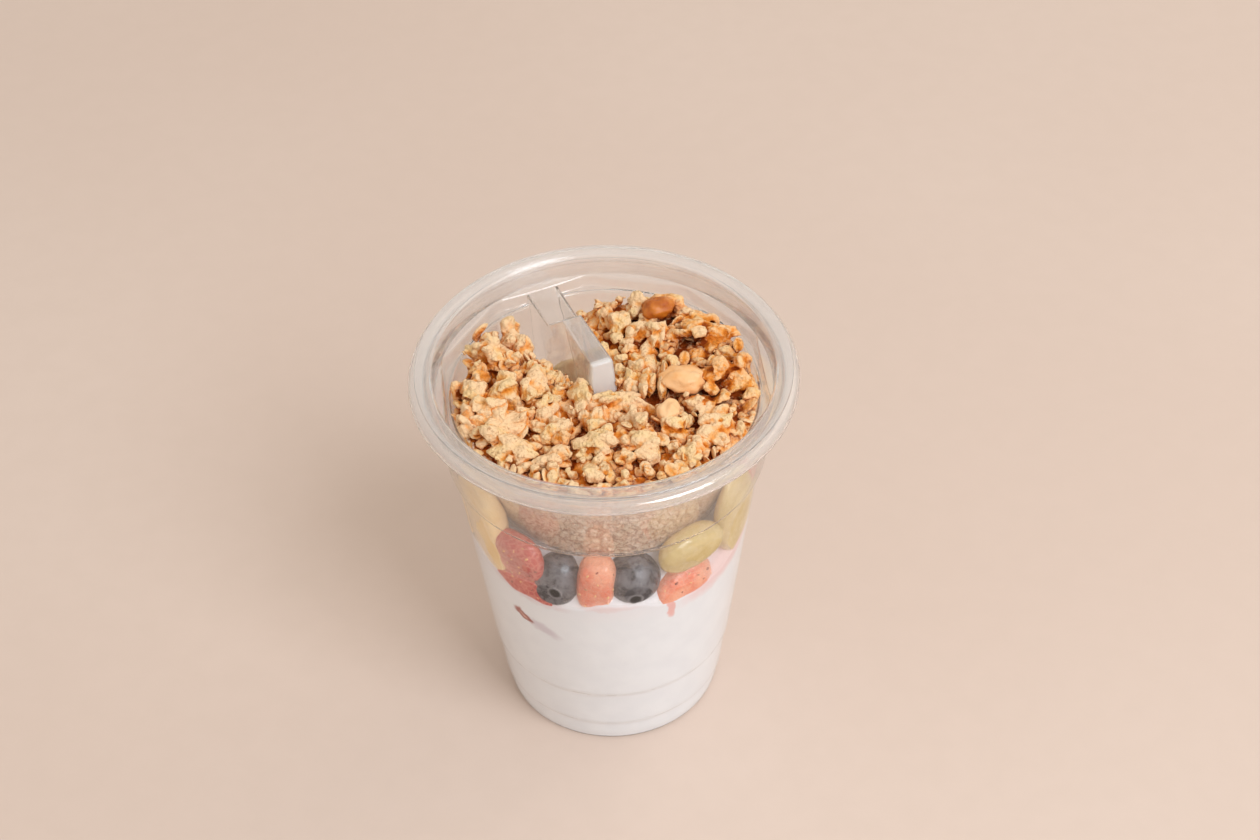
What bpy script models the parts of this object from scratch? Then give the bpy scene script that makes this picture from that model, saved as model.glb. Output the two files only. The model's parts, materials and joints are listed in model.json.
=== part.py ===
"""A yogurt parfait in a clear cup: white yogurt, a ring of cut fruit, and a clear insert tray
that hangs in the rim and holds a heap of granola.

Metres, +Z up. The origin is the middle of the cup's foot, on the surface it stands on.
The sizes below are in millimetres and degrees, and add_object turns them into metres.
"""
import math

import bmesh
import bpy
import numpy as np

MM = 0.001
GAP = 0.3                    # clearance between pieces that touch on the real thing
FRUIT_CLEARANCE = 0.45       # of a fruit from the cup's wall and the insert
POCKET_GROWTH = 0.42         # the yogurt's pockets are this much larger than the fruit all round

# Cup: a thermoformed tumbler with a rolled rim
CUP_HEIGHT = 110.0
RIM_RADIUS = 49.0
CUP_WALL = 0.7
FOOT_RADIUS = 28.6
FLOOR_TOP = 3.0
FLOOR_UNDERSIDE = 2.2
CUP_SEGMENTS = 50

# Insert tray: flange on the rim, ten-sided collar, round bowl
INSERT_TOP = 110.9
INSERT_SHEET = 0.5
FLANGE_RADIUS = 47.25
FLANGE_THICKNESS = 0.55
COLLAR_SIDES = 10
COLLAR_TOP_RADIUS = 42.0     # to the corners
COLLAR_FOOT_RADIUS = 41.5
COLLAR_TOP = 104.9
COLLAR_FOOT = 102.3
BOWL_TOP_RADIUS = 38.7
BOWL_TOP = 101.9
BOWL_FOOT_RADIUS = 30.4
BOWL_FOOT = 74.8
BOWL_FLOOR = 73.6
INSERT_SEGMENTS = 50

# Hollow ridge moulded in the insert: a low shelf at the wall, a ramp, then a bar to the middle
RIDGE_DIRECTION = 113.4
RIDGE_NOSE = 0.7             # how far its nose stops from the axis
RIDGE_SHELF_HEIGHT = 104.5
RIDGE_BAR_HEIGHT = 110.6
RIDGE_DRAFT = math.tan(math.radians(4.0))
FIRST_CORNER = RIDGE_DIRECTION + 180.0 / COLLAR_SIDES

# Contents
YOGURT_LEVEL = 62.0
YOGURT_CROWN = 8.0           # the middle stands this much higher than the edge
HEAP_LEVEL = 103.2
HEAP_SEGMENTS = 40

# Outside of the cup's wall from the foot up, as (radius, height): two low stacking rings and
# a step near the top
WALL_OUTSIDE = [
    (FOOT_RADIUS, 0.0), (29.2, 1.0), (29.9, 7.2), (30.35, 7.8), (31.9, 21.0), (32.4, 21.6),
    (39.75, 83.2), (41.3, 85.0), (44.5, 106.2),
]
WALL_INSIDE = [(27.8, FLOOR_TOP), (28.5, FLOOR_TOP + 0.7), (29.15, 7.6)] + [
    (radius - CUP_WALL, height + 0.3) for radius, height in WALL_OUTSIDE[3:]
]

# Lumps and dips of the granola: x, y, how high, how wide
HEAP_LUMPS = [
    (-27.0, 17.0, 3.2, 7.0), (-30.0, -4.0, 1.5, 8.0), (13.0, 24.0, 2.6, 9.0),
    (27.0, 10.0, 3.4, 9.0), (33.0, -6.0, 2.0, 7.0), (4.0, -18.0, 1.4, 12.0),
    (-12.0, -25.0, -0.8, 8.0), (-15.0, 33.0, -9.0, 9.0), (-5.5, 12.0, -3.0, 6.0),
]

# Fruit between the insert and the cup, on the yogurt: name, material, direction, height of
# its middle, size (along the wall, into the cup, upright), squareness, lean
FRUIT = [
    ("mango_slice_left", "mango", -153.6, 71.0, (17.0, 5.2, 31.0), 0.62, 6.0),
    ("strawberry_slice_left", "strawberry", -130.0, 71.8, (11.4, 5.4, 15.6), 0.8, 4.0),
    ("strawberry_slice_low", "strawberry", -129.6, 58.4, (13.4, 7.0, 6.2), 0.8, 7.0),
    ("blueberry_front_left", "blueberry", -113.2, 66.2, (11.2, 11.0, 12.4), 1.0, 0.0),
    ("strawberry_wedge_front", "strawberry", -95.6, 67.2, (7.8, 8.0, 15.0), 0.66, -3.0),
    ("blueberry_front_right", "blueberry", -77.6, 66.8, (12.2, 11.8, 12.0), 1.0, 0.0),
    ("strawberry_wedge_right", "strawberry", -55.5, 60.6, (13.0, 9.0, 9.6), 0.75, 12.0),
    ("grape_right", "grape", -54.0, 72.4, (19.0, 6.4, 12.6), 0.9, 9.0),
    ("grape_far_right", "grape", -26.0, 76.4, (15.5, 5.8, 22.0), 0.95, 6.0),
    ("strawberry_slice_right", "strawberry", -1.5, 68.8, (14.5, 5.6, 14.0), 0.78, -10.0),
    ("blueberry_right", "blueberry", 18.5, 66.5, (11.4, 11.2, 11.0), 1.0, 0.0),
    ("mango_slice_back_right", "mango", 39.5, 73.0, (15.4, 5.2, 25.0), 0.62, 3.0),
    ("strawberry_wedge_back", "strawberry", 61.5, 69.0, (11.0, 5.6, 15.0), 0.72, -6.0),
    ("blueberry_back", "blueberry", 80.0, 66.8, (11.6, 11.4, 11.4), 1.0, 0.0),
    ("grape_back", "grape", 102.5, 74.5, (16.0, 6.0, 21.0), 0.95, -7.0),
    ("strawberry_slice_back", "strawberry", 127.5, 70.5, (13.5, 5.6, 16.0), 0.8, 8.0),
    ("blueberry_back_left", "blueberry", 148.0, 66.8, (11.2, 11.0, 11.2), 1.0, 0.0),
    ("strawberry_wedge_left", "strawberry", 172.0, 66.0, (12.5, 5.8, 13.0), 0.72, -5.0),
]


# ---------------------------------------------------------------- scene, materials, meshes

def clear_scene():
    for old in list(bpy.data.objects):
        bpy.data.objects.remove(old, do_unlink=True)


def make_material(name, colour, roughness, clear=0.0):
    material = bpy.data.materials.new(name)
    material.use_nodes = True
    shader = material.node_tree.nodes["Principled BSDF"]
    shader.inputs["Base Color"].default_value = (*colour, 1.0)
    shader.inputs["Roughness"].default_value = roughness
    shader.inputs["Metallic"].default_value = 0.0
    shader.inputs["Transmission Weight"].default_value = clear
    material.diffuse_color = (*colour, 1.0)
    return material


def add_object(name, bm, material=None, sharp_from=35.0):
    """Make bm, whose points are in millimetres, an object in metres."""
    bmesh.ops.recalc_face_normals(bm, faces=bm.faces)
    bmesh.ops.scale(bm, vec=(MM, MM, MM), verts=bm.verts)
    mesh = bpy.data.meshes.new(name)
    bm.to_mesh(mesh)
    bm.free()
    mesh.shade_smooth()
    mesh.set_sharp_from_angle(angle=math.radians(sharp_from))
    if material is not None:
        mesh.materials.append(material)
    piece = bpy.data.objects.new(name, mesh)
    bpy.context.collection.objects.link(piece)
    return piece


def add_cutter(name, bm):
    piece = add_object(name, bm)
    piece.hide_render = True
    piece.display_type = "WIRE"
    return piece


def cut(piece, cutter):
    step = piece.modifiers.new("cut_" + cutter.name, "BOOLEAN")
    step.operation = "DIFFERENCE"
    step.solver = "EXACT"
    step.object = cutter


def closed_by_poles(low_pole, rings, high_pole):
    """A closed body from rings of points stacked between two points."""
    bm = bmesh.new()
    layers = [[bm.verts.new(point) for point in ring] for ring in rings]
    bottom, top = bm.verts.new(low_pole), bm.verts.new(high_pole)
    count = len(layers[0])
    for step in range(count):
        after = (step + 1) % count
        bm.faces.new((bottom, layers[0][after], layers[0][step]))
        bm.faces.new((top, layers[-1][step], layers[-1][after]))
        for low, high in zip(layers, layers[1:]):
            bm.faces.new((low[step], low[after], high[after], high[step]))
    return bm


def outline_radius(radius, angle, sides):
    """Radius of a circle, or of a polygon with that many sides, whose corners it reaches."""
    if not sides:
        return radius
    half = math.pi / sides
    off_middle = (angle - math.radians(FIRST_CORNER)) % (2 * half) - half
    return radius * math.cos(half) / math.cos(off_middle)


def turned(profile, segments):
    """Turn a profile of (radius, height) points that starts and ends on the axis.

    A third value makes that level a polygon with so many sides.
    """
    rings = []
    for radius, height, *sides in profile[1:-1]:
        ring = []
        for step in range(segments):
            angle = math.radians(FIRST_CORNER) + 2 * math.pi * step / segments
            reach = outline_radius(radius, angle, sides[0] if sides else 0)
            ring.append((reach * math.cos(angle), reach * math.sin(angle), height))
        rings.append(ring)
    return closed_by_poles((0, 0, profile[0][1]), rings, (0, 0, profile[-1][1]))


# ---------------------------------------------------------------- cup

def cup_inside(height):
    """Inner radius of the cup at a height."""
    radii, heights = zip(*WALL_INSIDE)
    return float(np.interp(height, heights, radii))


def make_cup(material):
    underside = [(0, FLOOR_UNDERSIDE), (25.5, FLOOR_UNDERSIDE), (26.8, 0.0)]
    rolled_rim = [
        (44.9, 108.4), (45.7, 109.25), (47.1, 109.3), (48.2, 108.7), (48.3, 107.8), (47.7, 107.1),
        (48.0, 106.5), (48.8, 107.1), (RIM_RADIUS, 108.2), (48.6, 109.3), (47.4, CUP_HEIGHT),
        (45.4, CUP_HEIGHT), (44.3, 109.2),
    ]
    inside = WALL_INSIDE[::-1] + [(0, FLOOR_TOP)]
    profile = underside + WALL_OUTSIDE + rolled_rim + inside
    return add_object("cup", turned(profile, CUP_SEGMENTS), material)


# ---------------------------------------------------------------- insert tray

def bowl_inside(height):
    """Inner radius of the insert's bowl at a height between its foot and its top."""
    return float(np.interp(height, (BOWL_FOOT, BOWL_TOP), (BOWL_FOOT_RADIUS, BOWL_TOP_RADIUS)))


def bowl_outside(height):
    return bowl_inside(height + INSERT_SHEET) + INSERT_SHEET


def ridge_block(name, grow, floor, back):
    """The ridge as a solid block, grow thicker all round, from floor up and out to back."""
    stations = [                 # distance from the axis, height of the top, half width of it
        (RIDGE_NOSE - grow, RIDGE_BAR_HEIGHT, 2.9),
        (20.0, RIDGE_BAR_HEIGHT, 2.7),
        (23.3, 107.6, 3.8),
        (26.6, RIDGE_SHELF_HEIGHT, 4.1),
        (back, RIDGE_SHELF_HEIGHT, 4.5),
    ]
    turn = math.radians(RIDGE_DIRECTION)
    out = np.array((math.cos(turn), math.sin(turn), 0.0))
    side = np.array((math.sin(turn), -math.cos(turn), 0.0))
    up = np.array((0.0, 0.0, 1.0))
    bm = bmesh.new()
    rings = []
    for index, (reach, top, half) in enumerate(stations):
        top += grow
        half += grow
        spread = (top - floor) * RIDGE_DRAFT
        low_reach = reach - spread if index == 0 else reach
        low_half = half + spread
        corners = [(reach, -half, top), (reach, half, top),
                   (low_reach, low_half, floor), (low_reach, -low_half, floor)]
        rings.append([bm.verts.new(out * n + side * t + up * z) for n, t, z in corners])
    for near, far in zip(rings, rings[1:]):
        for corner in range(4):
            after = (corner + 1) % 4
            bm.faces.new((near[corner], near[after], far[after], far[corner]))
    bm.faces.new(rings[0])
    bm.faces.new(reversed(rings[-1]))
    return add_cutter(name, bm)


def make_insert(material):
    sheet = INSERT_SHEET
    flange_underside = INSERT_TOP - FLANGE_THICKNESS
    under_side = [
        (0, BOWL_FLOOR - sheet), (BOWL_FOOT_RADIUS - 1.0, BOWL_FLOOR - sheet),
        (BOWL_FOOT_RADIUS + sheet, BOWL_FOOT - sheet), (BOWL_TOP_RADIUS + sheet, BOWL_TOP - sheet),
        (COLLAR_FOOT_RADIUS + sheet, COLLAR_FOOT - sheet, COLLAR_SIDES),
        (COLLAR_TOP_RADIUS + sheet, COLLAR_TOP - sheet, COLLAR_SIDES),
        (42.7, COLLAR_TOP), (43.25, flange_underside), (FLANGE_RADIUS, flange_underside),
        (FLANGE_RADIUS, INSERT_TOP), (0, INSERT_TOP),
    ]
    above = INSERT_TOP + 3.0
    room = [
        (0, above), (43.0, above), (43.0, INSERT_TOP), (42.75, INSERT_TOP - 0.3),
        (42.15, COLLAR_TOP + 0.4), (COLLAR_TOP_RADIUS, COLLAR_TOP, COLLAR_SIDES),
        (COLLAR_FOOT_RADIUS, COLLAR_FOOT, COLLAR_SIDES), (BOWL_TOP_RADIUS, BOWL_TOP),
        (BOWL_FOOT_RADIUS, BOWL_FOOT), (BOWL_FOOT_RADIUS - 1.3, BOWL_FLOOR), (0, BOWL_FLOOR),
    ]
    insert = add_object("insert", turned(under_side, INSERT_SEGMENTS), material)
    hollow = add_cutter("insert_hollow", turned(room, INSERT_SEGMENTS))
    cut(hollow, ridge_block("ridge_outside", 0.0, BOWL_FLOOR - 3.0, 45.0))
    cut(insert, ridge_block("ridge_inside", -sheet, BOWL_FLOOR - 6.0, 60.0))
    cut(insert, hollow)
    return insert


# ---------------------------------------------------------------- granola

def heap_height(x, y):
    """Height of the top of the granola over a point."""
    height = HEAP_LEVEL
    for at_x, at_y, rise, width in HEAP_LUMPS:
        away = ((x - at_x) ** 2 + (y - at_y) ** 2) / (width / 1.6) ** 2
        height += rise * math.exp(-away / 2)
    ripple = math.sin(0.9 * x + 1.1) * math.cos(0.8 * y - 0.4) + math.sin(0.55 * (x + y))
    return height + 0.55 * ripple


def make_granola(material):
    floor = BOWL_FLOOR + GAP
    lowest_rim = BOWL_FOOT + 8.0
    clear = 1.2 * GAP
    side_levels = (0.0, 0.05, 0.5, 1.0)          # shares of the way up the bowl
    top_shares = (0.86, 0.7, 0.52, 0.34, 0.16)   # shares of the way out from the axis
    rings = [[] for _ in side_levels + top_shares]
    for step in range(HEAP_SEGMENTS):
        angle = 2 * math.pi * step / HEAP_SEGMENTS
        across, along = math.cos(angle), math.sin(angle)
        edge = BOWL_TOP_RADIUS - 1.5
        rim = max(heap_height(edge * across, edge * along) - 1.0, lowest_rim)
        for index, share in enumerate(side_levels):
            height = floor + share * (rim - floor)
            reach = bowl_inside(height) - clear - (0.9 if index == 0 else 0.0)
            rings[index].append((reach * across, reach * along, height))
        for index, share in enumerate(top_shares, start=len(side_levels)):
            x, y = reach * share * across, reach * share * along
            height = heap_height(x, y) if share < 0.8 else max(heap_height(x, y), rim + 0.5)
            rings[index].append((x, y, height))
    heap = closed_by_poles((0, 0, floor), rings, (0, 0, heap_height(0, 0)))
    granola = add_object("granola", heap, material)
    cut(granola, ridge_block("ridge_room", GAP, BOWL_FLOOR - 9.0, 66.0))
    return granola


# ---------------------------------------------------------------- fruit

def pressed_in_gap(point, spare):
    """Press a point of a fruit against the cup's wall, the insert's bowl or its floor."""
    x, y, z = point
    reach = math.hypot(x, y)
    under_floor = BOWL_FLOOR - INSERT_SHEET - spare
    if z > under_floor and reach < bowl_outside(BOWL_FOOT) - 1.0:
        z = under_floor
    narrowest = bowl_outside(z) + spare if z > under_floor else 0.0
    wanted = min(max(reach, narrowest), cup_inside(z) - spare)
    return (x * wanted / reach, y * wanted / reach, z)


def fruit_lump(direction, height, size, squareness, lean, grow):
    """A rounded lump against the wall; squareness 1 is an ellipsoid, and less is boxy."""
    along_size, deep_size, up_size = size
    turn = math.radians(direction)
    out = np.array((math.cos(turn), math.sin(turn)))
    along = np.array((-math.sin(turn), math.cos(turn)))
    middle = cup_inside(height) - deep_size / 2
    tilt = math.radians(lean)
    bm = bmesh.new()
    bmesh.ops.create_uvsphere(bm, u_segments=10, v_segments=7, radius=1.0)
    for vert in bm.verts:
        unit = [math.copysign(abs(part) ** squareness, part) for part in vert.co]
        sizes = (deep_size, along_size, up_size)
        deep, across, up = (part * (whole / 2 + grow) for part, whole in zip(unit, sizes))
        leant_across = across * math.cos(tilt) - up * math.sin(tilt)
        leant_up = across * math.sin(tilt) + up * math.cos(tilt)
        plan = out * (middle + deep) + along * leant_across
        vert.co = pressed_in_gap((*plan, height + leant_up), FRUIT_CLEARANCE - grow)
    return bm


# ---------------------------------------------------------------- yogurt

def yogurt_edge(angle):
    """Height of the yogurt against the wall, in a direction given in radians."""
    wave = 2.6 * math.cos(angle - 0.1) + 1.1 * math.sin(2 * angle + 0.6)
    return YOGURT_LEVEL + wave + 0.8 * math.sin(5 * angle + 1.0)


def make_yogurt(material, pockets):
    clear = 1.3 * GAP
    lowest = FLOOR_TOP + GAP
    side_heights = [lowest, lowest + 0.9, 7.7, 8.2, 21.3, 21.9]
    crown_shares = (0.9, 0.6, 0.3)               # shares of the way out from the axis
    rings = [[] for _ in range(len(side_heights) + 1 + len(crown_shares))]
    for step in range(CUP_SEGMENTS):
        angle = 2 * math.pi * step / CUP_SEGMENTS
        across, along = math.cos(angle), math.sin(angle)
        edge = yogurt_edge(angle)
        levels = []
        for height in side_heights:
            rounding = 1.2 if height == lowest else 0.0
            levels.append((cup_inside(height) - clear - rounding, height))
        levels.append((cup_inside(edge) - clear, edge))
        for share in crown_shares:
            rise = YOGURT_CROWN * (1 - share ** 2)
            height = edge * share + YOGURT_LEVEL * (1 - share) + rise
            levels.append(((cup_inside(edge) - clear) * share, height))
        for ring, (reach, height) in zip(rings, levels):
            ring.append((reach * across, reach * along, height))
    fill = closed_by_poles((0, 0, lowest), rings, (0, 0, YOGURT_LEVEL + YOGURT_CROWN))
    yogurt = add_object("yogurt", fill, material)
    for pocket in pockets:
        cut(yogurt, pocket)
    return yogurt


def build():
    clear_scene()
    clear_plastic = make_material("clear_plastic", (0.95, 0.96, 0.96), 0.05, clear=1.0)
    make_cup(clear_plastic)
    make_insert(clear_plastic)
    make_granola(make_material("granola", (0.72, 0.45, 0.20), 0.8))
    fruit_materials = {
        "mango": make_material("mango", (0.80, 0.60, 0.24), 0.35),
        "strawberry": make_material("strawberry", (0.72, 0.16, 0.11), 0.35),
        "blueberry": make_material("blueberry", (0.06, 0.07, 0.12), 0.45),
        "grape": make_material("grape", (0.56, 0.52, 0.22), 0.25),
    }
    pockets = []
    for name, kind, *shape in FRUIT:
        add_object(name, fruit_lump(*shape, grow=0.0), fruit_materials[kind])
        pockets.append(add_cutter(name + "_pocket", fruit_lump(*shape, grow=POCKET_GROWTH)))
    make_yogurt(make_material("yogurt", (0.88, 0.85, 0.83), 0.4), pockets)


build()
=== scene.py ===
# %% [markdown]
# # A yogurt parfait in a clear cup
#
# The object is a clear lidless cup of white yogurt. Cut fruit stands on the yogurt against the
# wall, and a clear tray of granola hangs in the rim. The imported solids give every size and
# place, so this lesson starts by loading them, and then swaps each plain solid for a piece that
# looks like the real thing. Lengths are in metres, and `MM` turns millimetres into metres.

# %% Load the frame
import json
import math

import bmesh
import bpy
import numpy as np
from mathutils import Euler, Matrix, Vector, noise
from mathutils.bvhtree import BVHTree

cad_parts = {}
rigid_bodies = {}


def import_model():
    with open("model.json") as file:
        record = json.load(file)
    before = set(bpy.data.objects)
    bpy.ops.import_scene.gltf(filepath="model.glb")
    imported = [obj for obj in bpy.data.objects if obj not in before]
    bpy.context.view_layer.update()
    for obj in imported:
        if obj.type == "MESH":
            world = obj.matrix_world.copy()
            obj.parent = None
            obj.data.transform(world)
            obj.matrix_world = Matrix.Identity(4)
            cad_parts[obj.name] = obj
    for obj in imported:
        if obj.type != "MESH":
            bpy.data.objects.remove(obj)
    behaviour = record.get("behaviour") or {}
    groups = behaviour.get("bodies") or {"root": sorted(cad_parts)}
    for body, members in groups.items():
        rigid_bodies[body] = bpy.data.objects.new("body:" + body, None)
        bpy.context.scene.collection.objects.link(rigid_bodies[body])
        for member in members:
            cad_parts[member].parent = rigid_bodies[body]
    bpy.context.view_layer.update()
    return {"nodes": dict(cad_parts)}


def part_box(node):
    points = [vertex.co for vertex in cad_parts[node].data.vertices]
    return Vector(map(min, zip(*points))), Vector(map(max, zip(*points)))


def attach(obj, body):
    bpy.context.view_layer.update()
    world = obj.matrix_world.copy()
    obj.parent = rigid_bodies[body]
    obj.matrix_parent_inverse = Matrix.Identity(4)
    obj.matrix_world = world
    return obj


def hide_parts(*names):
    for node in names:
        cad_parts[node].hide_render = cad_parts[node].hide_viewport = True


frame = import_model()
nodes = frame["nodes"]
MM = 0.001

# %% [markdown]
# ## Camera
#
# The cup is seen from in front and well above, through a fairly long lens. The camera is put on
# a line that leaves the cup's axis at the height of the granola's foot, so three plain numbers
# place it: how far away it is, how steeply it looks down, and how far it is tipped sideways.

# %% Camera
CAMERA_DISTANCE = 584.5 * MM
CAMERA_DOWN = math.radians(43.32)
CAMERA_TIP = math.radians(-1.4)
AIM = Vector((6.2 * MM, 0.0, 91.6 * MM))

camera_data = bpy.data.cameras.new("camera")
camera_data.sensor_width = 36.0
camera_data.lens = 65.7
camera_data.clip_start = 0.01
camera = bpy.data.objects.new("camera", camera_data)
looking = Vector((0.0, math.cos(CAMERA_DOWN), -math.sin(CAMERA_DOWN)))
camera.location = AIM - looking * CAMERA_DISTANCE
turn_down = Matrix.Rotation(math.pi / 2 - CAMERA_DOWN, 4, "X")
camera.rotation_euler = (turn_down @ Matrix.Rotation(CAMERA_TIP, 4, "Z")).to_euler()
bpy.context.scene.collection.objects.link(camera)
bpy.context.scene.camera = camera
print("camera at", [round(value / MM) for value in camera.location], "mm")

# %% [markdown]
# ## Writing materials as sums
#
# A material is a small program made of nodes. Building it node by node hides the sum behind it,
# so `Signal` wraps a socket and lets Python's own `+`, `-`, `*` and `/` add the Math nodes.
# `Recipe` holds one node tree. Its `make` method adds any node: settings first, then sockets,
# each given a value or a signal. The same two classes build Geometry Nodes trees later on.

# %% Signals and recipes
class Signal:
    """One output socket, usable in sums."""

    def __init__(self, recipe, socket):
        self.recipe = recipe
        self.socket = socket

    def sum_with(self, operation, other, swapped=False):
        pair = (other, self) if swapped else (self, other)
        return self.recipe.math(operation, *pair)

    def __add__(self, other):
        return self.sum_with("ADD", other)

    def __sub__(self, other):
        return self.sum_with("SUBTRACT", other)

    def __mul__(self, other):
        return self.sum_with("MULTIPLY", other)

    def __truediv__(self, other):
        return self.sum_with("DIVIDE", other)

    def __radd__(self, other):
        return self.sum_with("ADD", other, swapped=True)

    def __rsub__(self, other):
        return self.sum_with("SUBTRACT", other, swapped=True)

    def __rtruediv__(self, other):
        return self.sum_with("DIVIDE", other, swapped=True)


class Recipe:
    """A node tree that grows one node at a time."""

    def __init__(self, tree):
        self.tree = tree

    def node(self, kind, settings=None, sockets=None):
        made = self.tree.nodes.new(kind)
        for name, value in (settings or {}).items():
            if name == "stops":
                self.set_stops(made.color_ramp, value)
            else:
                setattr(made, name, value)
        for name, value in (sockets or {}).items():
            if isinstance(value, Signal):
                self.tree.links.new(value.socket, made.inputs[name])
            elif value is not None:
                made.inputs[name].default_value = value
        return made

    def make(self, kind, settings=None, sockets=None, output=0):
        return Signal(self, self.node(kind, settings, sockets).outputs[output])

    def set_stops(self, ramp, stops):
        while len(ramp.elements) < len(stops):
            ramp.elements.new(0.5)
        for element, (place, colour) in zip(ramp.elements, stops):
            element.position = place
            element.color = (*colour, 1.0)

    def math(self, operation, first, second=None):
        return self.make("ShaderNodeMath", {"operation": operation}, {0: first, 1: second})

    def smooth(self, value, low, high, start=0.0, end=1.0):
        """start below low, end above high, and a soft change between."""
        settings = {"interpolation_type": "SMOOTHSTEP"}
        sockets = {0: value, 1: low, 2: high, 3: start, 4: end}
        return self.make("ShaderNodeMapRange", settings, sockets)


print("signals and recipes are ready")

# %% [markdown]
# ## What every finish shares
#
# `Finish` is a recipe for one material. It knows where a point is on the object, which is what
# every pattern here reads, and it has short names for noise, for mixing colours, for the marks
# that a mesh carries and for the final shader. Noise is often added to a place as well, so that
# no edge of a stain or a blush is a clean curve.

# %% Finish
class Finish(Recipe):
    def __init__(self, name):
        self.material = bpy.data.materials.new(name)
        self.material.use_nodes = True
        super().__init__(self.material.node_tree)
        self.tree.nodes.clear()
        self.surface = self.node("ShaderNodeOutputMaterial")
        self.place = self.make("ShaderNodeTexCoord", output="Object")

    def axes(self):
        """The place's x, y and z in millimetres."""
        split = self.node("ShaderNodeSeparateXYZ", sockets={0: self.place})
        return [Signal(self, split.outputs[axis]) * 1000.0 for axis in range(3)]

    def speckle(self, size_mm, detail=2.0, roughness=0.5):
        """Noise whose features are about size_mm across."""
        return self.make("ShaderNodeTexNoise", None, {
            "Vector": self.place, "Scale": 1000.0 / size_mm, "Detail": detail,
            "Roughness": roughness})

    def cells(self, size_mm, feature):
        """Distance to a cell's middle (F1) or to its edge, in cells about size_mm across."""
        sockets = {"Vector": self.place, "Scale": 1000.0 / size_mm}
        return self.make("ShaderNodeTexVoronoi", {"feature": feature}, sockets)

    def mark(self, name):
        """A mark that the mesh carries at each point."""
        return self.make("ShaderNodeAttribute", {"attribute_name": name}, output="Fac")

    def mix(self, share, first, second, blend="MIX"):
        """Mix two colours, each a tuple or a signal."""
        first, second = (c if isinstance(c, Signal) else (*c, 1.0) for c in (first, second))
        settings = {"data_type": "RGBA", "blend_type": blend, "clamp_factor": True}
        return self.make("ShaderNodeMix", settings, {0: share, 6: first, 7: second}, output=2)

    def ramp(self, value, stops):
        return self.make("ShaderNodeValToRGB", {"stops": stops}, {0: value})

    def bump(self, height, depth_mm, over=None):
        sockets = {"Height": height, "Distance": depth_mm * MM, "Normal": over}
        return self.make("ShaderNodeBump", None, sockets)

    def principled(self, sockets):
        """Show one Principled shader, and give back the finished material."""
        return self.show(self.make("ShaderNodeBsdfPrincipled", None, sockets))

    def show(self, shader):
        self.tree.links.new(shader.socket, self.surface.inputs["Surface"])
        return self.material


print("finishes can be made")

# %% [markdown]
# ## Growing meshes with Geometry Nodes
#
# Everything here that repeats, or that follows a rule, is grown by a Geometry Nodes tree.
# `Growth` is a recipe with named inputs, so each tree reads like a tool with settings. `grown`
# runs a tree on a mesh and keeps the result as a plain mesh, because a plain mesh is what can be
# measured, pressed into place and handed on.

# %% Growth
class Growth(Recipe):
    KINDS = {float: "Float", int: "Int"}

    def __init__(self, name, numbers=(), collections=()):
        super().__init__(bpy.data.node_groups.new(name, "GeometryNodeTree"))
        face = self.tree.interface
        face.new_socket("Geometry", in_out="INPUT", socket_type="NodeSocketGeometry")
        for label, kind in numbers:
            face.new_socket(label, in_out="INPUT", socket_type="NodeSocket" + self.KINDS[kind])
        for label in collections:
            face.new_socket(label, in_out="INPUT", socket_type="NodeSocketCollection")
        face.new_socket("Finish", in_out="INPUT", socket_type="NodeSocketMaterial")
        face.new_socket("Geometry", in_out="OUTPUT", socket_type="NodeSocketGeometry")
        self.entry = self.tree.nodes.new("NodeGroupInput")
        self.exit = self.tree.nodes.new("NodeGroupOutput")

    def given(self, label):
        return Signal(self, self.entry.outputs[label])

    def attribute(self, name):
        settings = {"data_type": "FLOAT"}
        return self.make("GeometryNodeInputNamedAttribute", settings, {"Name": name})

    def vector(self, x=0.0, y=0.0, z=0.0):
        return self.make("ShaderNodeCombineXYZ", None, {0: x, 1: y, 2: z})

    def random(self, low, high, seed, offset=0, kind="FLOAT"):
        sockets = {"FLOAT": {2: low, 3: high}, "FLOAT_VECTOR": {0: low, 1: high}}[kind]
        sockets[8] = seed + offset if offset else seed
        output = {"FLOAT": 1, "FLOAT_VECTOR": 0}[kind]
        return self.make("FunctionNodeRandomValue", {"data_type": kind}, sockets, output)

    def close(self, geometry):
        """End the tree: real geometry, with its finish."""
        real = self.make("GeometryNodeRealizeInstances", None, {0: geometry})
        sockets = {"Geometry": real, "Material": self.given("Finish")}
        done = self.make("GeometryNodeSetMaterial", None, sockets)
        self.tree.links.new(done.socket, self.exit.inputs[0])
        return self.tree


print("growths can be made")

# %% [markdown]
# A grown mesh is then handled as plain points, because pressing a fruit against a wall is easier
# to write as a sum over all its points than as nodes. These few helpers read and write points,
# run modifiers once and for all, clean a mesh up, and hand each piece over to the root body.

# %% Plain meshes
def plain_mesh(name, points, faces=(), edges=()):
    mesh = bpy.data.meshes.new(name)
    mesh.from_pydata([tuple(p) for p in points], list(edges), list(faces))
    mesh.update()
    return mesh


def mesh_points(mesh, unit=MM):
    """The points of a mesh, in millimetres unless another unit is named."""
    flat = np.empty(len(mesh.vertices) * 3)
    mesh.vertices.foreach_get("co", flat)
    return flat.reshape(-1, 3) / unit


def set_mesh_points(mesh, points, unit=MM):
    mesh.vertices.foreach_set("co", (np.asarray(points) * unit).ravel())
    mesh.update()


def mesh_edges(mesh):
    flat = np.empty(len(mesh.edges) * 2, dtype=np.int64)
    mesh.edges.foreach_get("vertices", flat)
    return flat.reshape(-1, 2)


def mesh_normals(mesh):
    return np.array([normal.vector for normal in mesh.vertex_normals])


def store_mark(mesh, name, values):
    """Give every point of a mesh one number, which finishes and trees can read by name."""
    mark = mesh.attributes.new(name, "FLOAT", "POINT")
    mark.data.foreach_set("value", np.asarray(values, dtype=np.float32))


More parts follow.
